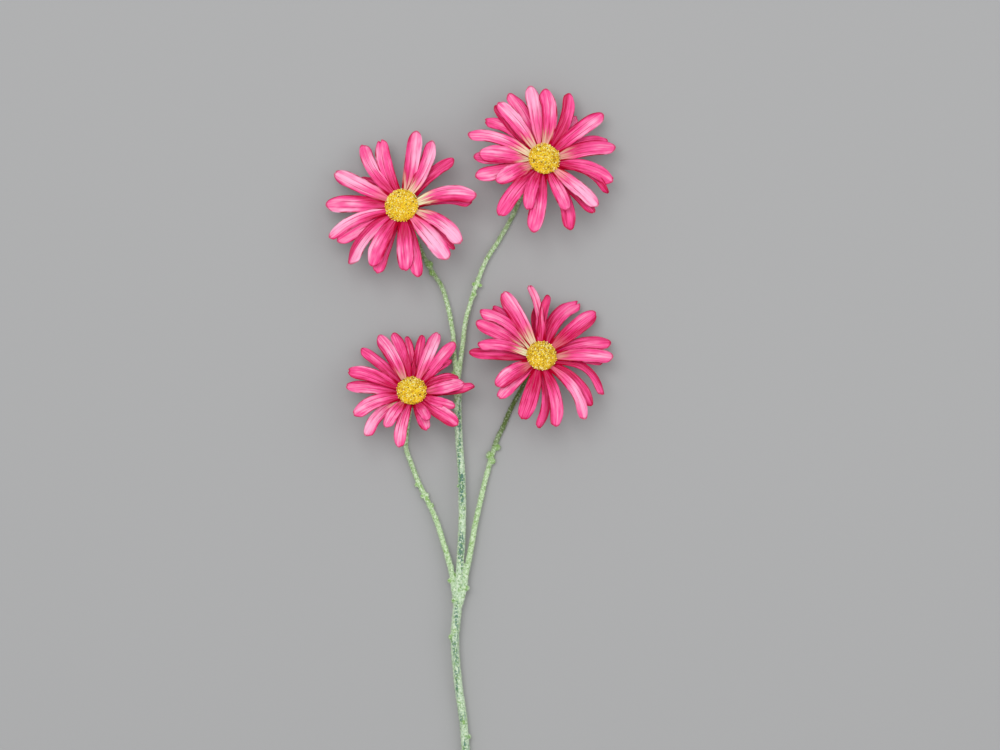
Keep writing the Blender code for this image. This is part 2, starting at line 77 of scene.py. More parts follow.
# Petal blades, as the solids have them: the radius and width at the root, the share of the
# length where a blade is widest, then a height for each level and the powers of the curves
PETAL_ROOT_RADIUS = 4.6
PETAL_ROOT_WIDTH = 3.1
WIDEST_AT = 0.66
ROOT_HEIGHTS = (-0.75, -0.35, 0.05, 0.45)
ARCHES = (0.2, 0.5, 1.2, 1.6)
DROOP_EASE = 1.4
ARCH_EASE = 1.2
SWELL_EASE = 0.78

# Stem runs: radii, the length of a stalk's straight end, and the points on each run's line
TRUNK_RADIUS = 2.0
FORK_RADIUS = 2.15
MIDDLE_RADIUS = 1.85
BRANCH_RADIUS = 1.3
LOWER_BRANCH_RADIUS = 1.6
PEDUNCLE_RADIUS = 1.12
PEDUNCLE_END = 2.4
FORK_POINT = (-5.5, -29.7, 5.0)
SECOND_FORK_POINT = (-5.7, 65.4, 4.8)
TRUNK_ROUTE = [
    (-0.6, -199.8, 1.75), (0.0, -172.8, 1.8), (-0.2, -143.5, 2.1), (-1.1, -118.8, 2.5),
    (-2.1, -98.5, 3.0), (-3.2, -84.8, 3.4), (-5.3, -69.7, 3.9), (-6.7, -55.7, 4.4),
    (-6.9, -46.7, 4.7), (-6.0, -36.4, 4.9), FORK_POINT,
]
BRANCH_ROUTES = {
    "middle": [
        (-6.1, -34.5, 4.95), FORK_POINT, (-4.5, -13.0, 5.3), (-3.8, -0.9, 5.5), (-3.6, 13.0, 5.6),
        (-4.0, 26.9, 5.6), (-5.1, 40.8, 5.4), (-5.6, 54.2, 5.1), SECOND_FORK_POINT,
    ],
    "top_left": [
        (-5.7, 61.4, 4.9), SECOND_FORK_POINT, (-7.0, 75.7, 4.5), (-7.6, 86.5, 4.0),
        (-8.7, 93.9, 3.5), (-10.7, 103.1, 2.8), (-13.0, 109.9, 2.2), (-16.0, 114.5, 1.8),
        (-18.8, 119.1, 1.4), (-21.2, 123.7, 1.1), (-23.8, 129.7, 1.15), (-26.0, 135.4, 2.4),
    ],
    "top_right": [
        (-5.7, 60.4, 4.95), SECOND_FORK_POINT, (-4.5, 75.7, 4.8), (-3.3, 84.7, 4.5),
        (-2.2, 93.8, 4.2), (0.3, 103.1, 3.8), (2.8, 110.7, 3.3), (7.1, 121.5, 2.6),
        (12.9, 130.6, 1.8), (18.6, 140.8, 1.15), (22.6, 149.4, 1.15), (25.4, 155.3, 2.3),
    ],
    "lower_left": [
        (-6.0, -35.6, 4.9), (-6.3, -32.2, 4.9), (-6.9, -28.2, 4.85), (-7.6, -23.6, 4.7),
        (-8.4, -18.6, 4.5), (-10.0, -12.4, 4.2),
        (-12.1, -5.5, 3.8), (-15.1, 3.9, 3.2), (-19.0, 12.9, 2.6), (-23.5, 22.0, 2.0),
        (-27.0, 31.2, 1.4), (-28.9, 36.6, 1.15), (-28.8, 42.9, 1.1), (-27.9, 49.7, 1.9),
        (-27.0, 54.6, 4.0),
    ],
    "middle_right": [
        (-5.6, -35.4, 4.9), (-4.5, -32.2, 4.9), (-3.4, -28.2, 4.85), (-2.6, -23.6, 4.75),
        (-1.9, -18.6, 4.6), (-0.6, -12.4, 4.4),
        (0.7, -5.5, 4.1), (2.3, 3.7, 3.6), (4.4, 12.9, 3.0), (6.5, 22.0, 2.4),
        (9.0, 31.3, 1.8), (11.7, 40.2, 1.3), (15.0, 47.2, 1.1), (17.9, 54.2, 1.15),
        (22.2, 62.3, 1.9), (25.4, 68.4, 4.0),
    ],
}

# Small knots on the runs: run, place along Y, shift to the right of the run's line, radius
NUBS = [
    ("trunk", -92.5, 1.7, 1.2), ("trunk", -47.6, -1.6, 1.4), ("trunk", -31.2, -1.5, 1.4),
    ("lower_left", -22.3, -1.3, 1.2), ("middle_right", -25.6, 1.3, 1.4),
    ("top_left", 70.8, -1.1, 1.0), ("top_right", 110.7, -1.4, 1.0), ("top_right", 110.0, 1.7, 0.9),
    ("top_right", 106.0, 0.2, 1.35), ("top_left", 119.6, 0.3, 1.8), ("top_left", 115.8, -0.3, 1.4),
    ("lower_left", 20.6, -1.3, 1.2), ("lower_left", 15.4, -1.5, 1.1),
    ("lower_left", 15.9, 1.0, 1.3), ("lower_left", 11.2, 0.6, 1.3),
    ("middle_right", 37.4, 1.5, 1.5), ("middle_right", 33.6, -0.6, 1.9),
    ("middle_right", 31.2, 0.9, 1.5), ("middle", 20.2, -1.5, 0.9),
]

# A petal: its level from 0 (lowest) to 3, its angle and reach as seen from straight above, its
# width, the height of its tip over the hub's middle, how far its line bows counter-clockwise,
# its tone from deep to pale, which also paints the shade that lower petals lie in, how cream its
# root is, which side is turned down (1 is the counter-clockwise one, -1 the other), that side
# taking painted shade and the other painted light, and how deep its tip is notched
Petal = namedtuple("Petal", "level angle reach width end bend tone cream slant notch",
                   defaults=(0.0,))

# Heads: centre is the middle of the hub, lean is how far the face tips from straight up and
# towards which way, aim is the point that the petals fan out from, beside the hub's middle,
# disc is the disc's radius, disc_shade is how much its florets are darkened, stalk is how olive
# the stalk is under the head, and each row of petals has the numbers of one petal
HEADS = {
    "top_left": {
        "centre": (-30.1, 144.9, 17.0), "lean": 17, "towards": 127, "aim": (0.0, 1.05),
        "disc": 7.6, "disc_shade": 0, "stalk": 0.85,
        "petals": [
            (3, 6, 33, 6.9, 1.5, 5, 0.67, 1, -0.6), (0, 1, 31, 5, -2.2, 5, 0.27, 0.2, 0),
            (1, 41, 30.5, 5.3, -1.6, 3.5, 0.19, 0, -0.3),
            (3, 65, 31.5, 6.5, 1.5, -4.5, 0.87, 0.75, 0.5),
            (2, 80, 33.5, 7.1, 2.4, -2, 0.77, 0.6, 0.5),
            (2, 109, 31, 6.5, 1.5, 3, 0.47, 0, -0.3, 1.3),
            (3, 124, 33, 5.5, 1.1, 4, 0.67, 0, -0.15),
            (0, 148, 22.5, 3.6, -2.2, -2.5, -0.13, 0, 0),
            (3, 155, 34, 6.5, 1.5, 0, 0.87, 0.15, 0.5),
            (2, 180, 34.5, 8.2, 1.5, -1, 0.67, 0, -0.5),
            (3, 204, 36, 4.9, 0.7, -4.5, 0.92, 0, 0.9),
            (1, 210, 33.5, 6.1, -1.2, -0.5, 0.52, 0, 0.2),
            (2, 229, 35.5, 7.2, 1.1, -6, 0.82, 0, -0.9), (3, 244, 31, 7.6, 2.2, -2, 0.57, 0, 0.5),
            (1, 250, 33, 6.4, -1.8, -2, 0.52, 0, 0.5), (3, 273, 30, 7.2, 1.5, 1, 0.42, 0, -0.1),
            (1, 282, 33.5, 5.8, -1.8, 1.5, 0.32, 0, 0.4),
            (3, 309, 32, 7.7, 1.5, 1.5, 0.97, 0.1, 0.4), (0, 319, 31, 3.8, -2.2, 2, 0.17, 0.5, 0),
            (2, 326, 31.5, 6.4, 2.2, 6, 0.82, 0.65, 0.3),
        ],
    },
    "top_right": {
        "centre": (32.6, 165.5, 18.0), "lean": 18, "towards": 60, "aim": (-0.6, 1.2),
        "disc": 7.2, "disc_shade": 0.12, "stalk": 0.8,
        "petals": [
            (3, 9, 33.5, 7.6, 1.5, 2, 0.5, 0.4, 0.4), (1, 15, 30.5, 5.9, -1.2, 4.5, 0.3, 0.5, 0),
            (3, 36, 34, 6.6, 1.5, 1, 0.52, 0, 0.5), (0, 50, 24.5, 4.9, -2.2, -0.5, 0.55, 0, 0),
            (2, 67, 32, 5.5, 1.5, -5.5, 0.15, 0, 0.5), (3, 88, 31, 6.6, 2.6, -5, 0.42, 0.5, 0.5),
            (2, 99, 33, 6.8, 1.5, -0.5, 0.9, 0.2, 0), (1, 117, 32.5, 6.5, -1, -3.5, 0.5, 0, -0.4),
            (3, 128, 31.5, 6.3, 1.5, -0.5, 0.82, 0.6, 0.5),
            (1, 132, 31.5, 4.2, -1.6, 2, 0.05, 0, 0),
            (0, 147, 30.5, 5.5, -1.8, -7, 0.38, 0, -0.2, 0.8),
            (3, 163, 34.5, 5.7, 1.5, -4.5, 0.75, 0.8, -0.1),
            (2, 177, 28, 7.6, 2.4, -1, 0.62, 0.85, 0.6),
            (0, 180, 30.5, 5.5, -2.2, 0.5, 0.45, 0, 0), (1, 196, 31, 6.9, -1.8, 2, 0.52, 0, -0.3),
            (3, 207, 23, 7.2, 1.5, 0.5, 0.55, 0.4, 0.6),
            (2, 234, 32.5, 6.7, 1.5, -2, 0.42, 0, -0.2),
            (3, 255, 24.5, 5.8, 1.5, -2.5, 0.35, 0, 0.2),
            (1, 263, 34, 7.2, -1.8, 1, 0.48, 0, -0.3), (0, 291, 35, 6.3, -2.2, 5, 0.1, 0, 0),
            (2, 295, 26.5, 6, 2.2, 0.5, 0.52, 0, 0), (0, 313, 34, 4.4, -2.2, 0, 0.05, 0, 0),
            (3, 319, 33, 6.7, 1.5, -0.5, 0.9, 0.35, 0.3),
            (0, 331.5, 33.5, 3.4, -2.2, 8, 0.1, 0, 0),
            (2, 342, 33.5, 6.3, 0.7, 4.5, 0.42, 0, -0.3),
        ],
    },
    "lower_left": {
        "centre": (-26.0, 62.2, 16.0), "lean": 22, "towards": 90, "aim": (-0.45, 1.05),
        "disc": 6.7, "disc_shade": 0.1, "stalk": 0.3,
        "petals": [
            (1, 3, 28.5, 4, -1.2, -3, 0.2, 0, -0.4), (3, 9, 24, 5.7, 1.5, -3, 0.65, 0.1, -0.3),
            (0, 14, 22, 3.9, -0.8, 3, 0.2, 0, 0), (0, 36, 22.5, 3.7, 0.3, 2, 0.3, 0, 0),
            (2, 48, 29, 5.4, 3.2, -0.5, 0.5, 0, -0.2), (3, 66, 28.5, 5.5, 2, -1, 0.8, 0.1, 0.4),
            (0, 78, 25, 4, -1, 0.5, 0.3, 0, 0.5), (0, 95, 24, 3, -2, -2.5, 0.4, 0, -0.4),
            (2, 107, 27, 5, 1.5, -2, 0.3, 0, -0.6), (3, 121, 28.5, 5.9, 1.5, -1, 0.62, 0.4, 0.6),
            (1, 141, 29, 4.8, -1.8, -1, 0.3, 0, 0.3),
            (2, 163, 29.5, 6, 0.6, -2.5, 0.38, 0, 0.4, 0.7),
            (1, 176, 29, 6.1, -0.6, 0, 0.5, 0, -0.7), (2, 204, 27.5, 6.2, 1.5, -4, 0.62, 0, 0.2),
            (0, 226, 28.5, 5.1, -2, -6, 0.8, 0.6, 0.5),
            (3, 236, 19.5, 5.4, 1.5, -1, 0.52, 0.1, 0.1), (1, 259, 26, 5.5, -1.8, -2, 0.72, 0, 0),
            (1, 292, 19.5, 5.4, -1.8, 0.5, 0.5, 0, -0.4), (3, 302, 15.5, 4.9, 6, 0, 0.4, 0, 0),
            (2, 325, 26, 6.4, 0.6, -1, 0.45, 0, -0.7), (3, 341, 21, 4.3, 1, -2.5, 0.5, 0, -0.2),
        ],
    },
    "middle_right": {
        "centre": (31.5, 77.9, 16.5), "lean": 20, "towards": 63, "aim": (0.0, 0.9),
        "disc": 6.9, "disc_shade": 0.26, "stalk": 1.3,
        "petals": [
            (3, 359, 32.5, 6, 1.5, 1, 0.57, 0.3, 0), (1, 10, 32, 6.1, -1.4, 4, 0.27, 0, 0.2),
            (3, 38, 31.5, 7, 1.5, 0, 0.25, 0.1, -0.4),
            (1, 54, 29.5, 7.0, -1.8, 8, 0.25, 0, 0.4, 1.9),
            (2, 83, 27.5, 3.6, 3.2, 3, 0.17, 0, 0.3), (0, 97, 21.5, 3.2, -2.2, 2.5, -0.8, 0, 0),
            (3, 99, 32, 3.6, 1.5, -3.5, 0.77, 0, 0.2, 0.8),
            (3, 121, 33, 7, 1.5, 0.5, 0.67, 0.75, 0.6), (0, 135, 30.5, 5.3, -2, -2, 0.12, 0.5, 0),
            (2, 144, 33.5, 5.1, 0.9, -6, 0.47, 0.9, -0.2),
            (1, 153, 32.5, 6.5, -1.4, -1, 0.39, 0.7, 0),
            (3, 171, 28.5, 4.8, 1.5, -3.5, 0.45, 1, 0.1), (0, 178, 32, 5.6, -2, 0, 0.08, 0, -0.3),
            (3, 214, 24, 7, 2.8, -1.5, 0.37, 0.2, 0.6), (1, 226, 27, 5.4, -1.8, -0.5, 0.59, 0, 0),
            (2, 254, 29.5, 7.2, 1.5, 1, 0.22, 0, 0), (0, 268, 32.5, 4.4, -2.2, 6, 0.05, 0, 0.8),
            (2, 282, 32.5, 5.6, 1.5, 4.5, 0.39, 0, -0.2),
            (3, 305, 34.5, 4.6, 1.5, 6.5, 0.77, 0.1, -0.3),
            (1, 315, 32, 5.6, -1.8, 5.5, 0.05, 0, 0), (1, 327.5, 33, 4.3, -3.6, 12, 0.09, 0, 0.8),
            (0, 354, 28, 4.3, -2, 2, 0.05, 0, 0),
        ],
    },
}


class DaisyPetalSettings(bpy.types.PropertyGroup):
    """Sizes and colours of the fabric petals."""

    thickness: bpy.props.FloatProperty(
        name="Thickness", description="Thickness of the pressed fabric",
        default=0.36 * MM, unit="LENGTH")
    groove_depth: bpy.props.FloatProperty(
        name="Groove depth", description="Depth of the two pressed grooves along a petal",
        default=0.26 * MM, unit="LENGTH")
    # Deep pink is also the painted shade at the roots, on the lower petals and on turned-down
    # sides
    deep: bpy.props.FloatVectorProperty(
        name="Deep pink", description="Colour of a petal's deepest parts",
        default=(0.55, 0.004, 0.072), subtype="COLOR", size=3)
    # Crimson also serves as painted shade in the grooves, along curled edges and between petals
    line: bpy.props.FloatVectorProperty(
        name="Crimson", description="Colour of a petal's edges and grooves",
        default=(0.38, 0.001, 0.02), subtype="COLOR", size=3)
    pink: bpy.props.FloatVectorProperty(
        name="Pink", description="Main colour of the petals",
        default=(0.89, 0.066, 0.272), subtype="COLOR", size=3)
    # Pale pink is also the painted light on upturned sides and down the petals' middles
    pale: bpy.props.FloatVectorProperty(
        name="Pale pink", description="Colour of the lightest tips",
        default=(0.96, 0.455, 0.65), subtype="COLOR", size=3)
    cream: bpy.props.FloatVectorProperty(
        name="Cream", description="Colour of the unprinted roots",
        default=(0.80, 0.82, 0.48), subtype="COLOR", size=3)


class DaisyDiscSettings(bpy.types.PropertyGroup):
    """Sizes and colours of the yellow discs."""

    florets: bpy.props.IntProperty(
        name="Florets", description="Number of florets on a disc", default=520, min=50, max=900)
    floret_width: bpy.props.FloatProperty(
        name="Floret width", description="Width of one floret", default=0.55 * MM, unit="LENGTH")
    yellow: bpy.props.FloatVectorProperty(
        name="Yellow", description="Main colour of the florets",
        default=(1.0, 0.84, 0.035), subtype="COLOR", size=3)
    # Pale yellow is partly the lighter florets' own colour and partly painted highlight
    pale: bpy.props.FloatVectorProperty(
        name="Pale yellow", description="Colour of the lightest florets",
        default=(1.0, 0.95, 0.42), subtype="COLOR", size=3)
    ochre: bpy.props.FloatVectorProperty(
        name="Ochre", description="Colour of the deepest florets",
        default=(0.70, 0.36, 0.012), subtype="COLOR", size=3)
    shade: bpy.props.FloatVectorProperty(
        name="Shade", description="Colour that the darker discs are mixed towards",
        default=(0.40, 0.19, 0.005), subtype="COLOR", size=3)
    brown: bpy.props.FloatVectorProperty(
        name="Brown", description="Colour of the dark specks",
        default=(0.13, 0.05, 0.008), subtype="COLOR", size=3)


class DaisyStemSettings(bpy.types.PropertyGroup):
    """Sizes and colours of the flocked stem and the calyces."""

    voxel: bpy.props.FloatProperty(
        name="Mesh size", description="Edge length of the stem's fine mesh",
        default=0.36 * MM, unit="LENGTH")
    lumps: bpy.props.FloatProperty(
        name="Lumps", description="Height of the lumps in the flocked coat",
        default=0.22 * MM, unit="LENGTH")
    fibre_length: bpy.props.FloatProperty(
        name="Fibre length", description="Length of one flock fibre",
        default=0.5 * MM, unit="LENGTH")
    fibre_density: bpy.props.FloatProperty(
        name="Fibre density", description="Flock fibres on a square metre of stem",
        default=3.8e6)
    pale: bpy.props.FloatVectorProperty(
        name="Pale green", description="Main colour of the flock",
        default=(0.51, 0.65, 0.47), subtype="COLOR", size=3)
    yellow_green: bpy.props.FloatVectorProperty(
        name="Yellow green", description="Main colour of the thin branches",
        default=(0.47, 0.64, 0.36), subtype="COLOR", size=3)
    # Whitish green is also the painted sheen on the sides of the runs
    whitish: bpy.props.FloatVectorProperty(
        name="Whitish green", description="Colour of the palest flecks",
        default=(0.74, 0.84, 0.64), subtype="COLOR", size=3)
    green: bpy.props.FloatVectorProperty(
        name="Green", description="Colour of the flock's greener patches and of the knots",
        default=(0.22, 0.42, 0.08), subtype="COLOR", size=3)
    dark_green: bpy.props.FloatVectorProperty(
        name="Dark green", description="Colour of the darkest flecks",
        default=(0.16, 0.31, 0.07), subtype="COLOR", size=3)
    blue_green: bpy.props.FloatVectorProperty(
        name="Blue green", description="Colour of the flock's dark patches",
        default=(0.05, 0.15, 0.13), subtype="COLOR", size=3)
    olive: bpy.props.FloatVectorProperty(
        name="Olive", description="Colour of the calyces and of the stalks close under the heads",
        default=(0.09, 0.13, 0.035), subtype="COLOR", size=3)


class DaisyStageSettings(bpy.types.PropertyGroup):
    """The floor's colour and the strength of the light."""

    floor: bpy.props.FloatVectorProperty(
        name="Floor", description="Colour of the floor", default=(0.37, 0.37, 0.37),
        subtype="COLOR", size=3)
    key_power: bpy.props.FloatProperty(
        name="Key light", description="Power of the large soft light", default=15.0,
        subtype="POWER", unit="POWER")
    fill: bpy.props.FloatProperty(
        name="Fill", description="Strength of the even light from all round", default=0.62)


class Nodes:
    """A node tree, with a short call for each kind of node that is used often."""

    def __init__(self, tree):
        self.tree = tree

    def put(self, socket, value):
        """Link an output to a socket, or set the socket to a constant."""
        if isinstance(value, bpy.types.NodeSocket):
            self.tree.links.new(value, socket)
        else:
            socket.default_value = value

    def node(self, kind, inputs=None, **settings):
        """Add a node with its settings and inputs."""
        node = self.tree.nodes.new(kind)
        for name, value in settings.items():
            setattr(node, name, value)
        for name, value in (inputs or {}).items():
            self.put(node.inputs[name], value)
        return node

    def math(self, operation, first, second=0.0, clamp=False):
        """One sum on two numbers."""
        return self.node("ShaderNodeMath", {0: first, 1: second}, operation=operation,
                         use_clamp=clamp).outputs[0]

    def plus(self, *values):
        """All the values added up, in their order."""
        return reduce(lambda total, value: self.math("ADD", total, value), values)

    def times(self, *values):
        """All the values multiplied, in their order."""
        return reduce(lambda total, value: self.math("MULTIPLY", total, value), values)

    def vector(self, *parts):
        """A vector from its three parts."""
        return self.node("ShaderNodeCombineXYZ", dict(enumerate(parts))).outputs[0]


class Graph(Nodes):
    """A material's nodes, with the smooth steps that it uses by name."""

    def __init__(self, name, steps=None):
        self.material = bpy.data.materials.new(name)
        self.material.use_nodes = True
        super().__init__(self.material.node_tree)
        self.shader = self.tree.nodes["Principled BSDF"]
        self.steps = steps

    def place(self):
        """Where a point is on its object."""
        return self.node("ShaderNodeTexCoord").outputs["Object"]

    def mark(self, name):
        """The outputs that give what the mesh stores under a name."""
        return self.node("ShaderNodeAttribute", attribute_name=name).outputs

    def fit(self, value, low, high, to_low=0.0, to_high=1.0):
        """A smooth step of a number from one range to another."""
        return self.node("ShaderNodeMapRange", {
            "Value": value, "From Min": low, "From Max": high, "To Min": to_low,
            "To Max": to_high}, interpolation_type="SMOOTHSTEP").outputs[0]

    def step(self, value, name):
        """The smooth step that the material's list has under a name."""
        return self.fit(value, *self.steps[name])

    def mix(self, share, first, second):
        """Mix two colours, each of them an output or a constant."""
        colors = [color if isinstance(color, bpy.types.NodeSocket) else (*color, 1.0)
                  for color in (first, second)]
        return self.node("ShaderNodeMix", {0: share, 6: colors[0], 7: colors[1]},
                         data_type="RGBA").outputs[2]

    def noise(self, vector, scale, detail=2.0, roughness=0.5):
        """Smooth noise from 0 to 1."""
        return self.node("ShaderNodeTexNoise", {
            "Vector": vector, "Scale": scale, "Detail": detail,
            "Roughness": roughness}).outputs["Fac"]

    def bump(self, height, distance, strength=1.0):
        """Give the surface a fine relief of this depth, in metres."""
        bump = self.node("ShaderNodeBump", {
            "Height": height, "Distance": distance, "Strength": strength})
        self.put(self.shader.inputs["Normal"], bump.outputs[0])

    def finish(self, color, roughness, **constants):
        """Set the shader's colour and roughness, and its constants on their own sockets."""
        self.put(self.shader.inputs["Base Color"], color)
        self.put(self.shader.inputs["Roughness"], roughness)
        for name, value in constants.items():
            self.shader.inputs[name.replace("_", " ")].default_value = value
        return self.material


class Tree(Nodes):
    """A geometry node tree with named inputs, for one modifier."""

    def __init__(self, name, inputs):
        super().__init__(bpy.data.node_groups.new(name, "GeometryNodeTree"))
        interface = self.tree.interface
        interface.new_socket("Geometry", in_out="OUTPUT", socket_type="NodeSocketGeometry")
        self.sockets = {}
        for label, kind in {"Geometry": "Geometry", **inputs}.items():
            self.sockets[label] = interface.new_socket(
                label, in_out="INPUT", socket_type="NodeSocket" + kind)
        self.source = self.tree.nodes.new("NodeGroupInput")
        self.result = self.tree.nodes.new("NodeGroupOutput")

    def input(self, label):
        """A named input's socket."""
        return self.source.outputs[label]

    def draw(self, low, high, seed):
        """A seeded random number for each element, or a vector if low and high are vectors."""
        if isinstance(low, float):
            return self.node("FunctionNodeRandomValue", {2: low, 3: high, "Seed": seed},
                             data_type="FLOAT").outputs[1]
        return self.node("FunctionNodeRandomValue", {0: low, 1: high, "Seed": seed},
                         data_type="FLOAT_VECTOR").outputs[0]

    def close(self, geometry):
        """End the tree with real geometry in the material that it is given."""
        real = self.node("GeometryNodeRealizeInstances", {0: geometry})
        painted = self.node("GeometryNodeSetMaterial", {
            "Geometry": real.outputs[0], "Material": self.input("Material")})
        self.tree.links.new(painted.outputs[0], self.result.inputs[0])

    def run(self, mesh, values):
        """Run the tree on a mesh with the named values, and give back a plain mesh."""
        thing = add_piece("working", mesh)
        modifier = thing.modifiers.new(self.tree.name, "NODES")
        modifier.node_group = self.tree
        for label, value in values.items():
            modifier[self.sockets[label].identifier] = value
        result = evaluated_mesh(thing)
        remove_object(thing)
        return result


def opposite(vector):
    """The vector the other way round."""
    return tuple(-part for part in vector)


def shaded(color, shares):
    """A colour with each channel taken down to its share."""
    return [channel * share for channel, share in zip(color, shares)]


def head_matrix(head):
    """The head's place and lean, in metres."""
    towards = math.radians(head["towards"])
    axis = Vector((-math.sin(towards), math.cos(towards), 0.0))
    turn = Matrix.Rotation(math.radians(head["lean"]), 4, axis)
    return Matrix.Translation(Vector(head["centre"]) * MM) @ turn


def add_piece(name, data, material=None):
    """Link a mesh or a curve as an object at the origin, in its material if one is given."""
    if material is not None:
        data.materials.clear()
        data.materials.append(material)
    piece = bpy.data.objects.new(name, data)
    bpy.context.scene.collection.objects.link(piece)
    return piece


def evaluated_mesh(thing):
    """The mesh that an object has after its modifiers."""
    depsgraph = bpy.context.evaluated_depsgraph_get()
    depsgraph.update()
    return bpy.data.meshes.new_from_object(thing.evaluated_get(depsgraph))


def remove_object(thing):
    """Take a working object out of the file."""
    bpy.data.objects.remove(thing, do_unlink=True)


def mesh_from(bm, name):
    """A mesh from a working one, which is freed."""
    mesh = bpy.data.meshes.new(name)
    bm.to_mesh(mesh)
    bm.free()
    return mesh


def smooth_points(route, spacing):
    """Points at about an even spacing on a smooth curve through the route's own points."""
    nodes = [Vector(point) for point in route]
    nodes = [2 * nodes[0] - nodes[1]] + nodes + [2 * nodes[-1] - nodes[-2]]
    points = [nodes[1]]
    for index in range(1, len(nodes) - 2):
        before, start, end, after = nodes[index - 1:index + 3]
        steps = max(1, round((end - start).length / spacing))
        for step in range(1, steps + 1):
            t = step / steps
            points.append(0.5 * (
                2 * start + (end - before) * t
                + (2 * before - 5 * start + 4 * end - after) * t ** 2
                + (3 * start - before - 3 * end + after) * t ** 3))
    return points


# Petals

PETAL_ROWS = 40
PETAL_COLUMNS = 14
PETAL_SEED = 23
HUB_SIDES = 48
# The hub under the disc is painted deep crimson as painted shade in the gaps between the petals'
# roots
HUB_SHADE_TINT = (-0.2, 0.0, 0.5, 0.5)
PETAL_SHARP_ANGLE = 55

# A petal that would be narrower than the first width is the second one, folded along its middle
NARROW_WIDTH = 4.3
FOLDED_WIDTH = 5.6

# The blade's width over the solid's, then shares of that width at the tip
FABRIC_SPREAD = 1.03
TIP_LENGTH_SHARE = 1.05
TIP_BULGE_SHARE = 0.293

# Forms of a blade. Along it, a span is where a form begins and is full, or where it fades, from 0
# at the root, or for the slant at the disc's edge, to 1 at the tip. Across it, places and widths
# are shares of its half width. Turns are in radians
ROW_CROWDING = 1.35
ROOT_STACK_SHARE = 0.35
STACK_STEP = 0.12
OPENING_RATE = 3
CURL_SPAN = (0.7, 1.05)
CROWN_SPAN = (0.12, 0.6)
CROWN_MIDDLE = 0.3
CROWN_POWER = 2.6
GROOVE_PLACE = 0.36
GROOVE_WIDTH = 0.14
GROOVE_START = (0.05, 0.25)
GROOVE_END = (0.7, 0.97)
GROOVE_WANDER_RATE = 5.0
WAVE_POWER = 2.5
NOTCH_DEPTHS = (0.0, 0.0, 0.0, 0.45)
NOTCH_WIDTH = 0.2
NOTCH_POWER = 4
SLANT_TURN = 0.38
SLANT_SPAN = (0.08, 0.5)
FULL_TURN = 6.28

# Noise over a petal: how it is stretched across and along, how far it is moved from the others,
# and its scale, detail and roughness
PETAL_NOISES = {
    "streaks": (7.5, 1.0, 0.0, 1.6, 3.0, 0.6),
    "fibres": (30.0, 2.4, 0.0, 1.5, 2.0, 0.5),
    "clouds": (1.6, 2.6, 0.0, 1.2, 2.0, 0.5),
    "patches": (1.6, 2.6, 0.0, 2.3, 2.0, 0.5),
    "bands": (4.2, 0.9, 4.0, 1.4, 1.0, 0.5),
    "edge": (2.0, 3.5, 9.0, 1.6, 2.0, 0.5),
}
NOISE_SPREAD = 61.0

# Smooth steps of the petal's print: the two values that a step lies between, and what it gives
# at each of them, which is 0 and 1 where nothing else is said
PETAL_STEPS = {
    "deep_root_print_and_shade": (0.06, 0.66, -0.62, 0.16), "tip": (0.80, 1.0, 0.0, -0.18),
    "painted_shade_side": (0.02, 0.16, 0.0, -0.80), "painted_light_side": (-0.16, -0.02, 0.38, 0.0),
    "clouds": (0.3, 0.7, -0.22, 0.22), "streaks": (0.33, 0.67, -0.20, 0.18),
    "bands": (0.34, 0.66, -0.16, 0.13),
    "highlight_across": (0.0, 0.3, 0.12, 0.0), "highlight_along": (0.3, 0.7),
    "deep_to_pink": (-0.16, 0.62), "pink_to_pale": (0.46, 1.50),
    "cream_wander": (0.25, 0.75, -0.12, 0.12), "cream_root": (0.10, 0.36, 1.0, 0.0),
    "groove_width": (0.1, 0.7, 0.07, 0.045), "groove_patches": (0.35, 0.6, 0.35, 1.0),
    "groove_start": (0.06, 0.2), "groove_end": (0.55, 0.95, 1.0, 0.0),
    "edge": (0.415, 0.485), "crevice_shade_root": (0.03, 0.36, 0.19, 0.0),
    "edge_cream": (0.0, 1.0, 1.0, 0.3), "edge_patches": (0.34, 0.62, 0.2, 1.0),
    "edge_patches_root": (0.15, 0.4, 1.0, 0.0), "edge_tip": (0.75, 0.98, 1.0, 0.6),
    "rim": (0.96, 0.99),
    "deep_fibres": (0.25, 0.5, 0.22, 0.0), "deep_fibres_along": (0.0, 0.5),
    "pale_fibres": (0.45, 0.7, 0.0, 0.2),
}
TONE_STRENGTH = 1.1
GROOVE_STRENGTH = 0.85
RIM_STRENGTH = 0.65
FIBRE_RELIEF = 0.6


def petal_tip(petal, head):
    """The tip in the head's own frame, so that it is seen where the list says from above."""
    angle = math.radians(petal.angle)
    seen = Vector(head["aim"]) + petal.reach * Vector((math.cos(angle), math.sin(angle)))
    turn = head_matrix(head).to_3x3()
    across = Matrix(((turn[0][0], turn[0][1]), (turn[1][0], turn[1][1])))
    flat = across.inverted() @ (seen - petal.end * Vector((turn[0][2], turn[1][2])))
    return Vector((flat.x, flat.y, petal.end))


def half_width(along, to_tip, width):
    """Half the petal's width at a share of its length, where it is to_tip from its end."""
    grown = math.sin(math.pi / 2 * min(1.0, along / WIDEST_AT)) ** SWELL_EASE
    half = (PETAL_ROOT_WIDTH + (width - PETAL_ROOT_WIDTH) * grown) / 2
    rounding = max(0.0, 1 - to_tip / (TIP_LENGTH_SHARE * width))
    return half * math.sqrt(1 - rounding ** 2)


def ease(value, low, high):
    """A smooth step from 0 at low to 1 at high."""
    share = min(1.0, max(0.0, (value - low) / (high - low)))
    return share * share * (3 - 2 * share)


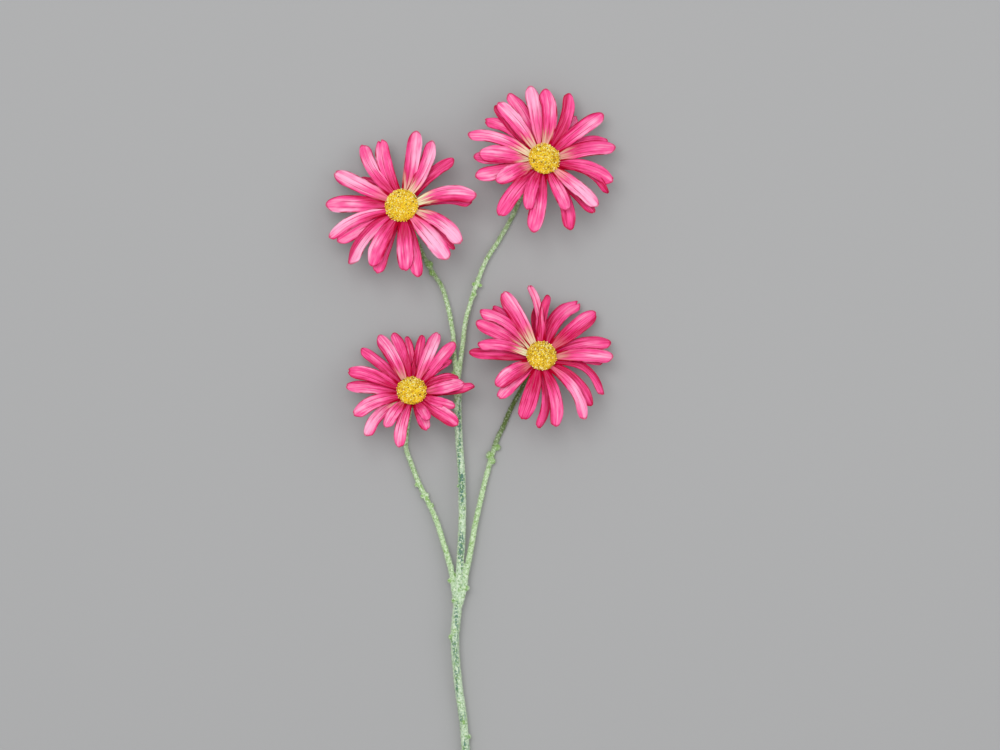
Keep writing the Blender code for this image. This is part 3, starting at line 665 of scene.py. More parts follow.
def petal_draws(petal, order, draw):
    """The small differences that make each petal its own."""
    return {
        "crown": draw.uniform(0.15, 0.85) if petal.level > 1 else draw.uniform(0.1, 0.6),
        "roll": draw.uniform(-0.08, 0.08), "twist": draw.uniform(-0.16, 0.16),
        "curl": draw.uniform(0.2, 1.2), "wave": draw.uniform(0.08, 0.26),
        "wave_count": draw.uniform(1.4, 2.6), "wave_phase": draw.uniform(0, FULL_TURN),
        "notch": max(petal.notch, draw.choice(NOTCH_DEPTHS)),
        "notch_place": draw.uniform(-0.4, 0.4) * (1 if petal.notch == 0 else 0.3),
        "skew": draw.uniform(-0.5, 0.5), "stack": STACK_STEP * (order % 3 - 1),
        "groove": draw.uniform(0.6, 1.2), "lean": draw.uniform(-0.22, 0.22),
        "wander": draw.uniform(-0.16, 0.16), "seed": draw.random(),
    }


def lean_across(draws, along, across):
    """The place across a petal, shifted so that its grooves wander a little."""
    shift = draws["lean"] + draws["wander"] * math.sin(
        GROOVE_WANDER_RATE * along + FULL_TURN * draws["seed"])
    return across + shift * (1 - across ** 2)


def petal_height(petal, draws, settings, along, across, past_disc):
    """How high a petal's middle surface is, before it is turned or folded."""
    root = ROOT_HEIGHTS[petal.level] + ROOT_STACK_SHARE * draws["stack"]
    height = root + (petal.end - root) * past_disc ** DROOP_EASE
    height += ARCHES[petal.level] * max(0.0, math.sin(math.pi * min(1.0, past_disc))) ** ARCH_EASE
    height += draws["stack"] * past_disc
    height -= draws["curl"] * ease(along, *CURL_SPAN) * (petal.level > 1)
    crown = draws["crown"] * ease(along, *CROWN_SPAN)
    height += crown * (CROWN_MIDDLE - abs(across) ** CROWN_POWER)
    leaning = lean_across(draws, along, across)
    groove = sum(math.exp(-((leaning - place) / GROOVE_WIDTH) ** 2)
                 for place in (-GROOVE_PLACE, GROOVE_PLACE))
    fade = ease(along, *GROOVE_START) * (1 - ease(along, *GROOVE_END))
    height -= groove * fade * draws["groove"] * settings.groove_depth / MM
    wave = math.sin(2 * math.pi * draws["wave_count"] * along + draws["wave_phase"] + across)
    opened = min(1.0, past_disc * OPENING_RATE)
    return height + draws["wave"] * wave * abs(across) ** WAVE_POWER * opened


def petal_point(petal, head, tip, draws, settings, along, across):
    """One point of a petal's middle surface, in the head's frame and in millimetres."""
    outward = Vector((tip.x, tip.y, 0)).normalized()
    sideways = Vector((-outward.y, outward.x, 0))
    reach = tip.to_2d().length
    width = petal.width * FABRIC_SPREAD
    fold = 0.0
    if width < NARROW_WIDTH:
        fold = math.acos(width / FOLDED_WIDTH)
        width = FOLDED_WIDTH
    length = reach - PETAL_ROOT_RADIUS
    end = ease(along, WIDEST_AT, 1.0)
    bulge = TIP_BULGE_SHARE * width * end
    half = half_width(along, length * (1 - along) + bulge, width)
    radius = PETAL_ROOT_RADIUS + length * along - bulge * across ** 2
    radius += draws["skew"] * across * end
    from_notch = (across - draws["notch_place"]) / NOTCH_WIDTH
    radius -= draws["notch"] * math.exp(-from_notch ** 2) * end ** NOTCH_POWER
    past_disc = max(0.0, (radius - head["disc"]) / (reach - head["disc"]))
    opened = min(1.0, past_disc * OPENING_RATE)
    fold *= opened
    height = petal_height(petal, draws, settings, along, across, past_disc)
    height += half * abs(across) * math.sin(fold)
    turn = (draws["roll"] + draws["twist"] * along) * opened
    turn -= petal.slant * SLANT_TURN * ease(past_disc, *SLANT_SPAN)
    flat = half * across * math.cos(fold)
    bow = 2 * petal.bend * along * (1 - along)
    slope = 2 * petal.bend * (1 - 2 * along) / length
    width_axis = (sideways - outward * slope).normalized()
    point = outward * radius + sideways * bow + width_axis * (flat * math.cos(turn))
    point.z = height + flat * math.sin(turn)
    return point


def petal_grid(petal, head, order, draw, settings):
    """The points of a petal with their shares along and across it."""
    tip = petal_tip(petal, head)
    draws = petal_draws(petal, order, draw)
    points = []
    for row in range(PETAL_ROWS + 1):
        along = 1 - (1 - row / PETAL_ROWS) ** ROW_CROWDING
        for column in range(PETAL_COLUMNS + 1):
            across = 2 * column / PETAL_COLUMNS - 1
            point = petal_point(petal, head, tip, draws, settings, along, across)
            points.append((point, along, lean_across(draws, along, across)))
    return points, draws["seed"]


def petals_mesh(place, head, settings):
    """All the petals of a head as closed thin blades, with their hub under the disc."""
    draw = random.Random(PETAL_SEED + len(place))
    bm = bmesh.new()
    uv = bm.loops.layers.uv.new("petal")
    tint_and_shade = bm.verts.layers.float_color.new("petal_tint_and_shade")
    for order, petal in enumerate(Petal(*row) for row in head["petals"]):
        points, seed = petal_grid(petal, head, order, draw, settings)
        verts = []
        for point, _, _ in points:
            vert = bm.verts.new(point * MM)
            # The tint keeps the tone, partly painted shade, and in its alpha the slant, which
            # paints shade on the turned-down side and light on the other
            vert[tint_and_shade] = (petal.tone, petal.cream, seed, 0.5 + petal.slant / 2)
            verts.append(vert)
        span = PETAL_COLUMNS + 1
        for row in range(PETAL_ROWS):
            for column in range(PETAL_COLUMNS):
                first = row * span + column
                corners = (first, first + span, first + span + 1, first + 1)
                face = bm.faces.new([verts[corner] for corner in corners])
                face.smooth = True
                for loop, corner in zip(face.loops, corners):
                    loop[uv].uv = ((points[corner][2] + 1) / 2, points[corner][1])
    sheet = add_piece("petal_sheets", mesh_from(bm, "petals"))
    solidify = sheet.modifiers.new("fabric", "SOLIDIFY")
    solidify.thickness = settings.thickness
    solidify.offset = 0.0
    blades = evaluated_mesh(sheet)
    remove_object(sheet)
    bm = bmesh.new()
    bm.from_mesh(blades)
    tint_and_shade = bm.verts.layers.float_color["petal_tint_and_shade"]
    radius = (head["disc"] - HUB_INSET) * MM
    hub = bmesh.ops.create_cone(bm, cap_ends=True, segments=HUB_SIDES, radius1=radius,
                                radius2=radius, depth=(HUB_TOP - HUB_BOTTOM) * MM)["verts"]
    bmesh.ops.translate(bm, verts=hub, vec=(0, 0, (HUB_TOP + HUB_BOTTOM) / 2 * MM))
    # The hub's colour is painted shade between the petals' roots
    for vert in hub:
        vert[tint_and_shade] = HUB_SHADE_TINT
    bm.to_mesh(blades)
    bm.free()
    blades.transform(head_matrix(head))
    blades.set_sharp_from_angle(angle=math.radians(PETAL_SHARP_ANGLE))
    return blades


def petal_material(settings):
    """Fabric, deep at the root and in the grooves by print and painted shade, pale at the tip,
    finely streaked.
    """
    graph = Graph("petal_fabric", PETAL_STEPS)
    uv = graph.node("ShaderNodeUVMap", uv_map="petal").outputs[0]
    across, along, _ = graph.node("ShaderNodeSeparateXYZ", {0: uv}).outputs
    tint_and_shade = graph.mark("petal_tint_and_shade")
    tone, cream, seed = graph.node("ShaderNodeSeparateColor", {0: tint_and_shade["Color"]}).outputs
    shift = graph.times(seed, NOISE_SPREAD)
    noises = {}
    for name, (wide, high, moved, *texture) in PETAL_NOISES.items():
        place = graph.vector(graph.times(across, wide), graph.times(along, high),
                             graph.plus(shift, moved))
        noises[name] = graph.noise(place, *texture)
    from_middle = graph.math("SUBTRACT", across, 0.5)
    side = graph.math("ABSOLUTE", from_middle)
    # Painted shade on the side that the slant turns down, painted light on the other side
    shaded_side = graph.times(from_middle, graph.math("SUBTRACT", tint_and_shade["Alpha"], 0.5))
    # A painted highlight down the middle of each petal, where it bows up
    crown = graph.times(graph.step(side, "highlight_across"), graph.step(along, "highlight_along"))
    lightness = graph.plus(
        # Deep at the root and for low tones: partly print, partly painted shade where petals lie
        # under others
        graph.step(along, "deep_root_print_and_shade"), graph.times(tone, TONE_STRENGTH),
        graph.step(shaded_side, "painted_shade_side"), graph.step(shaded_side, "painted_light_side"),
        *(graph.step(noises[name], name) for name in ("clouds", "streaks", "bands")),
        # Darker at the tip: painted shade where the tips curl down
        graph.step(along, "tip"), crown)
    color = graph.mix(graph.step(lightness, "deep_to_pink"), settings.deep, settings.pink)
    color = graph.mix(graph.step(lightness, "pink_to_pale"), color, settings.pale)
    root = graph.plus(along, graph.step(noises["streaks"], "cream_wander"))
    color = graph.mix(graph.times(graph.step(root, "cream_root"), cream), color, settings.cream)

    # Crimson in the grooves: partly print, partly painted shade in the pressed creases
    line = graph.math("ABSOLUTE", graph.math("SUBTRACT", side, GROOVE_PLACE / 2))
    groove = graph.fit(line, 0.0, graph.step(along, "groove_width"), 1.0, 0.0)
    fade = graph.times(graph.step(along, "groove_start"), graph.step(along, "groove_end"))
    patchy = graph.step(noises["patches"], "groove_patches")
    groove = graph.times(groove, fade, patchy, GROOVE_STRENGTH)
    color = graph.mix(groove, color, settings.line)

    # Crimson edges: partly print, partly painted shade where edges curl down and petals overlap;
    # near the root the band widens as painted shade in the crevices between petals
    crevice_shade = graph.times(graph.step(along, "crevice_shade_root"), graph.step(cream, "edge_cream"))
    edge = graph.step(graph.plus(side, crevice_shade), "edge")
    uneven = graph.math("MAXIMUM", graph.step(noises["edge"], "edge_patches"),
                        graph.step(along, "edge_patches_root"))
    edge = graph.times(edge, graph.step(along, "edge_tip"), uneven)
    edge = graph.math("MAXIMUM", edge, graph.times(graph.step(along, "rim"), RIM_STRENGTH))
    color = graph.mix(edge, color, settings.line)

    fibres = noises["fibres"]
    shade = graph.times(graph.step(fibres, "deep_fibres"), graph.step(along, "deep_fibres_along"))
    color = graph.mix(shade, color, settings.deep)
    fleck = graph.times(graph.step(fibres, "pale_fibres"), graph.math("SUBTRACT", 1.0, edge))
    color = graph.mix(fleck, color, settings.pale)
    relief = graph.plus(graph.times(fibres, FIBRE_RELIEF), noises["streaks"])
    graph.bump(relief, 0.14 * MM, strength=0.6)
    return graph.finish(color, roughness=0.7, Specular_IOR_Level=0.02)


class DAISY_OT_petals(bpy.types.Operator):
    """Make the fabric petals of every head"""

    bl_idname = "daisy.petals"
    bl_label = "Petals"

    def execute(self, context):
        settings = context.scene.daisy_petals
        material = petal_material(settings)
        for place, head in HEADS.items():
            mesh = petals_mesh(place, head, settings)
            piece = add_piece("fabric_petals_" + place, mesh, material)
            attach(piece, "root")
            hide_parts("petals_" + place)
        return {"FINISHED"}


# Discs

GOLDEN_ANGLE = math.radians(137.508)
DOME_RINGS = 12
DOME_SIDES = 48

# The dome under the florets: the shares of the disc's radius at its rim and at its foot, and how
# far it lies under the solid's surface
DOME_RIM_SHARE = 0.96
DOME_FOOT_SHARE = 0.9
FLORET_SINK = 0.35

# Florets: how far their middles lie under the solid's surface, the reach of their places' small
# differences, the range of their sizes, how tall they are for their width, and how they lean out
FLORET_SEED = 40
FLORET_FACES = {"Segments": 6, "Rings": 5}
FLORET_DROP = 0.1
FLORET_NUDGE = (0.12 * MM, 0.12 * MM, 0.22 * MM)
FLORET_SIZES = (0.72, 1.28)
FLORET_TALLNESS = 1.15
FLORET_LEAN = 1.15
FLORET_LEAN_POWER = 1.6

# Smooth steps of the florets' colours, as in the petal's list, then the share of brown florets
# and what is left of each channel of yellow in its deeper places
FLORET_STEPS = {
    "grain": (0.35, 0.65), "ochre": (0.42, 0.05), "pale": (0.68, 0.92),
    "shade": (0.15, 0.75, 2.6, 0.0), "ground_brown": (0.60, 0.75),
}
BROWN_FLORETS = 0.045
DEEP_YELLOW = (0.90, 0.76, 0.6)
GROUND_YELLOW = (0.95, 0.78, 0.6)


def dome_height(share):
    """Height of the disc's surface over the hub's middle, at a share of its radius."""
    crown = (DISC_HEIGHT - DISC_WALL) * (1 - min(1.0, share) ** DOME_FULLNESS)
    return HUB_TOP + SEAT_GAP + DISC_WALL + crown


def dome_mesh(radius):
    """The closed dome that the florets stand on, a little lower than their tips."""
    bm = bmesh.new()
    bottom = (HUB_TOP + SEAT_GAP) * MM
    rings = []
    for ring in range(1, DOME_RINGS + 1):
        share = ring / DOME_RINGS
        rings.append((radius * share * DOME_RIM_SHARE, (dome_height(share) - FLORET_SINK) * MM))
    rings.append((radius * DOME_FOOT_SHARE, bottom))
    angles = [2 * math.pi * side / DOME_SIDES for side in range(DOME_SIDES)]
    loops = [[bm.verts.new((reach * math.cos(angle), reach * math.sin(angle), height))
              for angle in angles] for reach, height in rings]
    top = bm.verts.new((0, 0, (dome_height(0) - FLORET_SINK) * MM))
    foot = bm.verts.new((0, 0, bottom))
    for side in range(DOME_SIDES):
        after = (side + 1) % DOME_SIDES
        bm.faces.new((top, loops[0][side], loops[0][after]))
        bm.faces.new((foot, loops[-1][after], loops[-1][side]))
        for inner, outer in zip(loops, loops[1:]):
            bm.faces.new((inner[side], outer[side], outer[after], inner[after]))
    for face in bm.faces:
        face.smooth = True
    bmesh.ops.recalc_face_normals(bm, faces=bm.faces)
    return mesh_from(bm, "dome")


def floret_tree():
    """Florets on a sunflower spiral over the dome, each standing square to it."""
    tree = Tree("floret_spiral", {
        "Florets": "Int", "Disc Radius": "Float", "Base": "Float", "Crown": "Float",
        "Fullness": "Float", "Floret Width": "Float", "Seed": "Int", "Material": "Material"})
    count, seed = tree.input("Florets"), tree.input("Seed")
    index = tree.node("GeometryNodeInputIndex").outputs[0]
    share = tree.math("SQRT", tree.math("DIVIDE", tree.plus(index, 0.5), count))
    reach = tree.times(share, tree.input("Disc Radius"))
    angle = tree.times(index, GOLDEN_ANGLE)
    east, north = tree.math("COSINE", angle), tree.math("SINE", angle)
    fall = tree.math("POWER", share, tree.input("Fullness"))
    height = tree.times(tree.math("SUBTRACT", 1.0, fall), tree.input("Crown"))
    place = tree.vector(tree.times(reach, east), tree.times(reach, north),
                        tree.plus(height, tree.input("Base")))
    steepness = tree.times(tree.math("POWER", share, FLORET_LEAN_POWER), FLORET_LEAN)
    facing = tree.vector(tree.times(east, steepness), tree.times(north, steepness), 1.0)
    points = tree.node("GeometryNodePoints", {
        "Count": count, "Position": place, "Radius": MM}).outputs[0]
    bud = tree.node("GeometryNodeMeshUVSphere", {
        **FLORET_FACES, "Radius": tree.times(tree.input("Floret Width"), 0.5)})
    tall = tree.node("GeometryNodeTransform", {
        "Geometry": bud.outputs[0], "Scale": (1.0, 1.0, FLORET_TALLNESS)}).outputs[0]
    turn = tree.node("FunctionNodeAlignRotationToVector", {"Vector": facing}, axis="Z").outputs[0]
    buds = tree.node("GeometryNodeInstanceOnPoints", {
        "Points": points, "Instance": tall, "Rotation": turn,
        "Scale": tree.draw(*FLORET_SIZES, seed)}).outputs[0]
    nudge = tree.draw(opposite(FLORET_NUDGE), FLORET_NUDGE, tree.plus(seed, 1.0))
    nudged = tree.node("GeometryNodeTranslateInstances", {
        "Instances": buds, "Translation": nudge}).outputs[0]
    marked = tree.node("GeometryNodeStoreNamedAttribute", {
        "Geometry": nudged, "Name": "floret_draw",
        "Value": tree.draw(0.0, 1.0, tree.plus(seed, 2.0))},
        data_type="FLOAT", domain="INSTANCE").outputs[0]
    tree.close(marked)
    return tree


def floret_material(settings):
    """Granular yellow florets with pale flecks, partly painted highlights, and dark specks."""
    graph = Graph("floret_yellow", FLORET_STEPS)
    draw = graph.mark("floret_draw")["Fac"]
    grain = graph.noise(graph.place(), scale=2600.0)
    color = graph.mix(graph.step(grain, "grain"), shaded(settings.yellow, DEEP_YELLOW),
                      settings.yellow)
    color = graph.mix(graph.step(draw, "ochre"), color, settings.ochre)
    # Pale florets: partly lighter florets, partly painted highlights standing in for glints
    color = graph.mix(graph.step(draw, "pale"), color, settings.pale)
    color = graph.mix(graph.math("LESS_THAN", draw, BROWN_FLORETS), color, settings.brown)
    shade = graph.times(graph.step(draw, "shade"), graph.mark("disc_shade")["Fac"])
    color = graph.mix(shade, color, settings.shade)
    graph.bump(grain, 0.12 * MM, strength=0.6)
    return graph.finish(color, roughness=0.34, Specular_IOR_Level=0.6)


def dome_material(settings):
    """The shadowed ground between the florets."""
    graph = Graph("floret_ground", FLORET_STEPS)
    place = graph.place()
    brown = graph.step(graph.noise(place, scale=1400.0), "ground_brown")
    color = graph.mix(brown, shaded(settings.yellow, GROUND_YELLOW), settings.brown)
    graph.bump(graph.noise(place, scale=2200.0), 0.2 * MM)
    return graph.finish(color, roughness=0.9)


class DAISY_OT_discs(bpy.types.Operator):
    """Make the domed disc of every head, with its florets"""

    bl_idname = "daisy.discs"
    bl_label = "Discs"

    def execute(self, context):
        settings = context.scene.daisy_discs
        tree = floret_tree()
        florets = floret_material(settings)
        ground = dome_material(settings)
        for number, (place, head) in enumerate(HEADS.items()):
            radius = head["disc"] * MM
            count = round(settings.florets * (head["disc"] / HEADS["top_left"]["disc"]) ** 2)
            buds = tree.run(bpy.data.meshes.new("florets"), {
                "Florets": count, "Disc Radius": radius,
                "Base": (dome_height(1.0) - FLORET_DROP) * MM,
                "Crown": (DISC_HEIGHT - DISC_WALL) * MM, "Fullness": DOME_FULLNESS,
                "Floret Width": settings.floret_width, "Seed": FLORET_SEED + number,
                "Material": florets})
            shades = buds.attributes.new("disc_shade", "FLOAT", "POINT")
            shades.data.foreach_set("value", [head["disc_shade"]] * len(buds.vertices))
            buds.shade_smooth()
            buds.transform(head_matrix(head))
            piece = add_piece("floret_disc_" + place, buds)
            dome = dome_mesh(radius)
            dome.transform(head_matrix(head))
            base = add_piece("disc_dome_" + place, dome, ground)
            for thing in (piece, base):
                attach(thing, "root")
            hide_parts("disc_" + place)
        return {"FINISHED"}


# Calyces

CALYX_SIDES = 40
CALYX_LEVELS = (0.0, 0.03, 0.1, 0.2, 0.32, 0.45, 0.58, 0.7, 0.82, 0.92, 1.0)
CALYX_FULLNESS = 0.85
CALYX_RIBS = 10
RIB_SHARE = 0.02
CALYX_SHARP_ANGLE = 50

# Rows of bracts: how many there are, where they start and end as shares of the cup's height, and
# how wide they are. The shift times a row's start is how many bracts far the row is turned
BRACT_ROWS = ((11, 0.10, 0.80, 2.2), (13, 0.32, 1.12, 2.6))
BRACT_SHIFT = 3
BRACT_STEPS = 8

# A bract: its gap to the cup, how far its tip lifts and the power of that line, how fast it
# flares past the cup's rim and how much it still rises there, the powers of its outline, half
# its width at its tip, its thickness, and how far its middle stands out from its edges
BRACT_GAP = 0.12
BRACT_LIFT = 0.5
BRACT_LIFT_POWER = 3
BRACT_FLARE = 6
BRACT_RISE = 0.3
BRACT_TAPER = 2.2
BRACT_ROUNDING = 0.8
BRACT_TIP = 0.06
BRACT_THICKNESS = 0.28
BRACT_KEEL = 0.12


def calyx_radius(share):
    """The cup's radius at a share of its height, from the stalk up."""
    return CALYX_BASE_RADIUS + (CALYX_RADIUS - CALYX_BASE_RADIUS) * math.sin(
        math.pi / 2 * min(1.0, max(0.0, share))) ** CALYX_FULLNESS


def calyx_mesh(head):
    """A cup with two rows of pointed bracts pressed against it."""
    foot = HUB_BOTTOM - SEAT_GAP - CALYX_LENGTH
    bm = bmesh.new()
    loops = []
    for share in CALYX_LEVELS:
        radius = calyx_radius(share)
        ring = []
        for side in range(CALYX_SIDES):
            angle = 2 * math.pi * side / CALYX_SIDES
            ribbed = radius * (1 + RIB_SHARE * math.cos(CALYX_RIBS * angle))
            ring.append(bm.verts.new((ribbed * math.cos(angle), ribbed * math.sin(angle),
                                      foot + CALYX_LENGTH * share)))
        loops.append(ring)
    for low, high in zip(loops, loops[1:]):
        for side in range(CALYX_SIDES):
            after = (side + 1) % CALYX_SIDES
            bm.faces.new((low[side], low[after], high[after], high[side]))
    bm.faces.new(loops[0])
    bm.faces.new(loops[-1])
    bmesh.ops.recalc_face_normals(bm, faces=bm.faces)
    for count, start, end, width in BRACT_ROWS:
        for number in range(count):
            angle = 2 * math.pi * (number + start * BRACT_SHIFT) / count
            add_bract(bm, angle, start, end, width, foot)
    for face in bm.faces:
        face.smooth = True
    bmesh.ops.scale(bm, vec=(MM, MM, MM), verts=bm.verts)
    mesh = mesh_from(bm, "calyx")
    mesh.transform(head_matrix(head))
    mesh.set_sharp_from_angle(angle=math.radians(CALYX_SHARP_ANGLE))
    return mesh


def add_bract(bm, angle, start, end, width, foot):
    """One pointed bract as a closed thin blade that follows the cup and lifts at its tip."""
    outward = Vector((math.cos(angle), math.sin(angle), 0))
    sideways = Vector((-outward.y, outward.x, 0))
    inner, outer = [], []
    for step in range(BRACT_STEPS + 1):
        along = step / BRACT_STEPS
        share = start + (end - start) * along
        radius = calyx_radius(share) + BRACT_GAP + BRACT_LIFT * along ** BRACT_LIFT_POWER
        radius += max(0.0, share - 1) * BRACT_FLARE
        up = Vector((0, 0, foot + CALYX_LENGTH * min(share, 1.0 + (share - 1) * BRACT_RISE)))
        half = width / 2 * (1 - along ** BRACT_TAPER) ** BRACT_ROUNDING + BRACT_TIP
        for rows, lift in ((inner, 0.0), (outer, BRACT_THICKNESS)):
            edge = outward * (radius + lift)
            middle = outward * (radius + lift + BRACT_KEEL)
            rows.append([bm.verts.new(point) for point in (
                edge - sideways * half + up, middle + up, edge + sideways * half + up)])
    made = []
    for step in range(BRACT_STEPS):
        for column in range(2):
            made.append(bm.faces.new((inner[step][column], inner[step + 1][column],
                                      inner[step + 1][column + 1], inner[step][column + 1])))
            made.append(bm.faces.new((outer[step][column], outer[step][column + 1],
                                      outer[step + 1][column + 1], outer[step + 1][column])))
        for column in (0, 2):
            made.append(bm.faces.new((inner[step][column], outer[step][column],
                                      outer[step + 1][column], inner[step + 1][column])))
    for step in (0, BRACT_STEPS):
        for column in range(2):
            made.append(bm.faces.new((inner[step][column], inner[step][column + 1],
                                      outer[step][column + 1], outer[step][column])))
    bmesh.ops.recalc_face_normals(bm, faces=made)


def calyx_material(settings):
    """Matt green, mottled with olive."""
    graph = Graph("calyx_green", {"mottling": (0.35, 0.7)})
    place = graph.place()
    patch = graph.noise(place, scale=420.0, detail=3.0)
    color = graph.mix(graph.step(patch, "mottling"), settings.olive, settings.green)
    graph.bump(graph.noise(place, scale=2400.0), 0.1 * MM, strength=0.6)
    return graph.finish(color, roughness=0.85, Sheen_Weight=0.2, Specular_IOR_Level=0.25)


class DAISY_OT_calyces(bpy.types.Operator):
    """Make the green calyx under every head"""

    bl_idname = "daisy.calyces"
    bl_label = "Calyces"

    def execute(self, context):
        material = calyx_material(context.scene.daisy_stem)
        for place, head in HEADS.items():
            piece = add_piece("bract_calyx_" + place, calyx_mesh(head), material)
            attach(piece, "root")
            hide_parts("calyx_" + place)
        return {"FINISHED"}


# Stem

STEM_SPACING = 2.0
TRUNK_SWELL_SPAN = (-60.0, -34.0)
KNOT_FACES = {"u_segments": 16, "v_segments": 10}
MERGE_DISTANCE = 0.01 * MM

# The flocked coat: its depth, the size and the share of its lumps, and its fibres' ends in
# metres, the range of their sizes and how far they lean, in radians
FLOCK_DEPTH = 0.22
LUMP_SCALES = ((0.75, 1.0), (0.33, 0.55))
FIBRE_SEED = 7
FIBRE_ENDS = {"Radius Top": 0.02 * MM, "Radius Bottom": 0.06 * MM}
FIBRE_SIZES = (0.5, 1.2)
FIBRE_LEAN = (0.8, 0.8, 3.1)

# Marks on the coat. The olive fades over the first span from a head along its stalk. The thick
# runs are darker than the thin ones, the middle one more so over its span along Y, and the thin
# ones turn yellower over theirs. A knot's mark fades between two shares of its radius
OLIVE_SPAN = (22.0, 75.0)
THICK_DARKNESS = 0.35
MIDDLE_DARKNESS = 0.6
MIDDLE_DARK_SPAN = (8.0, 26.0)
YELLOW_SPAN = (FORK_POINT[1] - 5, FORK_POINT[1] + 25)
KNOT_CORE = 0.8
KNOT_REACH = 1.25

# Smooth steps of the coat's colours, as in the petal's list
STEM_STEPS = {
    "green_patches": (0.50, 0.72, 0.0, 0.8), "dark_patches": (0.36, 0.64, -0.75, 0.75),
    "dark": (0.15, 1.2, 0.0, 0.9), "dark_runs": (0.0, 0.25), "dark_top": (0.45, 0.92),
    "rim": (0.25, 0.75, 0.45, 0.0), "sheen_rim_by_head": (0.3, 1.0, 1.0, 0.2),
    "olive_patches": (0.3, 0.7, -0.3, 0.3), "knot": (0.3, 0.6, 0.35, 0.85),
    "flecks": (0.50, 0.62, 0.0, 0.7), "dark_flecks_by_head": (0.3, 1.0, 1.0, 0.3),
    "pale_flecks_by_head": (0.3, 1.0, 1.0, 0.4),
}
OLIVE_STRENGTH = 0.85
PATCH_STRETCH = (1.0, 0.18, 1.0)
PALE_FLECK_SHIFT = (0.5, 0.2, 0.1)


def branch_points(name):
    """Points along a branch. One that carries a head ends in a short straight run up its axis."""
    if name not in HEADS:
        return smooth_points(BRANCH_ROUTES[name], STEM_SPACING)
    head = HEADS[name]
    axis = head_matrix(head).to_3x3() @ Vector((0, 0, 1))
    tip_height = HUB_BOTTOM - SEAT_GAP - CALYX_LENGTH - SEAT_GAP
    tip = Vector(head["centre"]) + axis * tip_height
    route = BRANCH_ROUTES[name] + [tip - axis * PEDUNCLE_END]
    return smooth_points(route, STEM_SPACING) + [tip]


def stem_runs():
    """Each run of the stem as its points and its radius at each of them."""
    trunk = smooth_points(TRUNK_ROUTE, STEM_SPACING)
    swell = [TRUNK_RADIUS + (FORK_RADIUS - TRUNK_RADIUS) * ease(point.y, *TRUNK_SWELL_SPAN)
             for point in trunk]
    swell[-1] = MIDDLE_RADIUS
    runs = {"trunk": (trunk, swell)}
    for name in BRANCH_ROUTES:
        points = branch_points(name)
        thick = LOWER_BRANCH_RADIUS if points[0].y < 0.0 else BRANCH_RADIUS
        thin = PEDUNCLE_RADIUS
        if name == "middle":
            thick = thin = MIDDLE_RADIUS
        last = len(points) - 1
        runs[name] = (points, [thick + (thin - thick) * index / last for index in range(last + 1)])
    return runs


def tube_mesh(points, radii):
    """A closed round tube through the points."""
    curve = bpy.data.curves.new("run", "CURVE")
    curve.dimensions = "3D"
    curve.bevel_depth = MM
    curve.bevel_resolution = 4
    curve.use_fill_caps = True
    spline = curve.splines.new("POLY")
    spline.points.add(len(points) - 1)
    for target, point, radius in zip(spline.points, points, radii):
        target.co = (*(point * MM), 1.0)
        target.radius = radius
    guide = add_piece("run_guide", curve)
    mesh = evaluated_mesh(guide)
    remove_object(guide)
    return mesh


def knot_places(runs):
    """The middle and the radius of every knot."""
    knots = []
    for name, along, shift, radius in NUBS:
        nearest = min(runs[name][0], key=lambda point: abs(point.y - along))
        knots.append((Vector((nearest.x + shift, along, nearest.z)), radius))
    return knots


def stem_body(runs, settings):
    """All the runs and knots grown together into one fine closed skin."""
    bm = bmesh.new()
    for points, radii in runs.values():
        bm.from_mesh(tube_mesh(points, [radius - FLOCK_DEPTH for radius in radii]))
    for place, radius in knot_places(runs):
        core = (radius - FLOCK_DEPTH / 3) * MM
        made = bmesh.ops.create_uvsphere(bm, radius=core, **KNOT_FACES)
        bmesh.ops.translate(bm, verts=made["verts"], vec=place * MM)
    bmesh.ops.remove_doubles(bm, verts=bm.verts, dist=MERGE_DISTANCE)
    rough = add_piece("stem_rough", mesh_from(bm, "stem"))
    remesh = rough.modifiers.new("skin", "REMESH")
    remesh.mode = "VOXEL"
    remesh.voxel_size = settings.voxel
    remesh.use_smooth_shade = True
    skin = evaluated_mesh(rough)
    remove_object(rough)
    return skin


def flock_lumps(mesh, settings):
    """Push the skin in and out as a flocked coat is, and keep its rest spots flat."""
    moved = []
    for vert in mesh.vertices:
        place = vert.co / MM
        lump = sum(share * noise.noise(place / scale) for scale, share in LUMP_SCALES)
        point = vert.co + vert.normal * (lump * settings.lumps)
        moved += (point.x, point.y, max(point.z, 0.0))
    mesh.vertices.foreach_set("co", moved)
    mesh.update()


def mark_runs(mesh, runs):
    """Store how near a point is to a head, how dark and how yellow its run is, and its knot."""
    marks = []
    knots = knot_places(runs)
    for name, (points, _) in runs.items():
        length = 0.0
        for before, point in zip(points[::-1], points[-2::-1]):
            length += (before - point).length
            close = yellow = 0.0
            dark = THICK_DARKNESS
            if name in HEADS:
                close = HEADS[name]["stalk"] * (1 - ease(length, *OLIVE_SPAN))
                yellow = ease(point.y, *YELLOW_SPAN)
                dark = 0.0
            elif name == "middle":
                dark += MIDDLE_DARKNESS * ease(point.y, *MIDDLE_DARK_SPAN)
            marks.append((point, close, dark, yellow))
    tree = KDTree(len(marks))
    for index, mark in enumerate(marks):
        tree.insert(mark[0] * MM, index)
    tree.balance()
    layer = mesh.attributes.new("stem_marks", "FLOAT_COLOR", "POINT")
    for vert, value in zip(mesh.vertices, layer.data):
        _, index, _ = tree.find(vert.co)
        knot = max(1 - ease((vert.co / MM - place).length, radius * KNOT_CORE, radius * KNOT_REACH)
                   for place, radius in knots)
        value.color = (*marks[index][1:], knot)


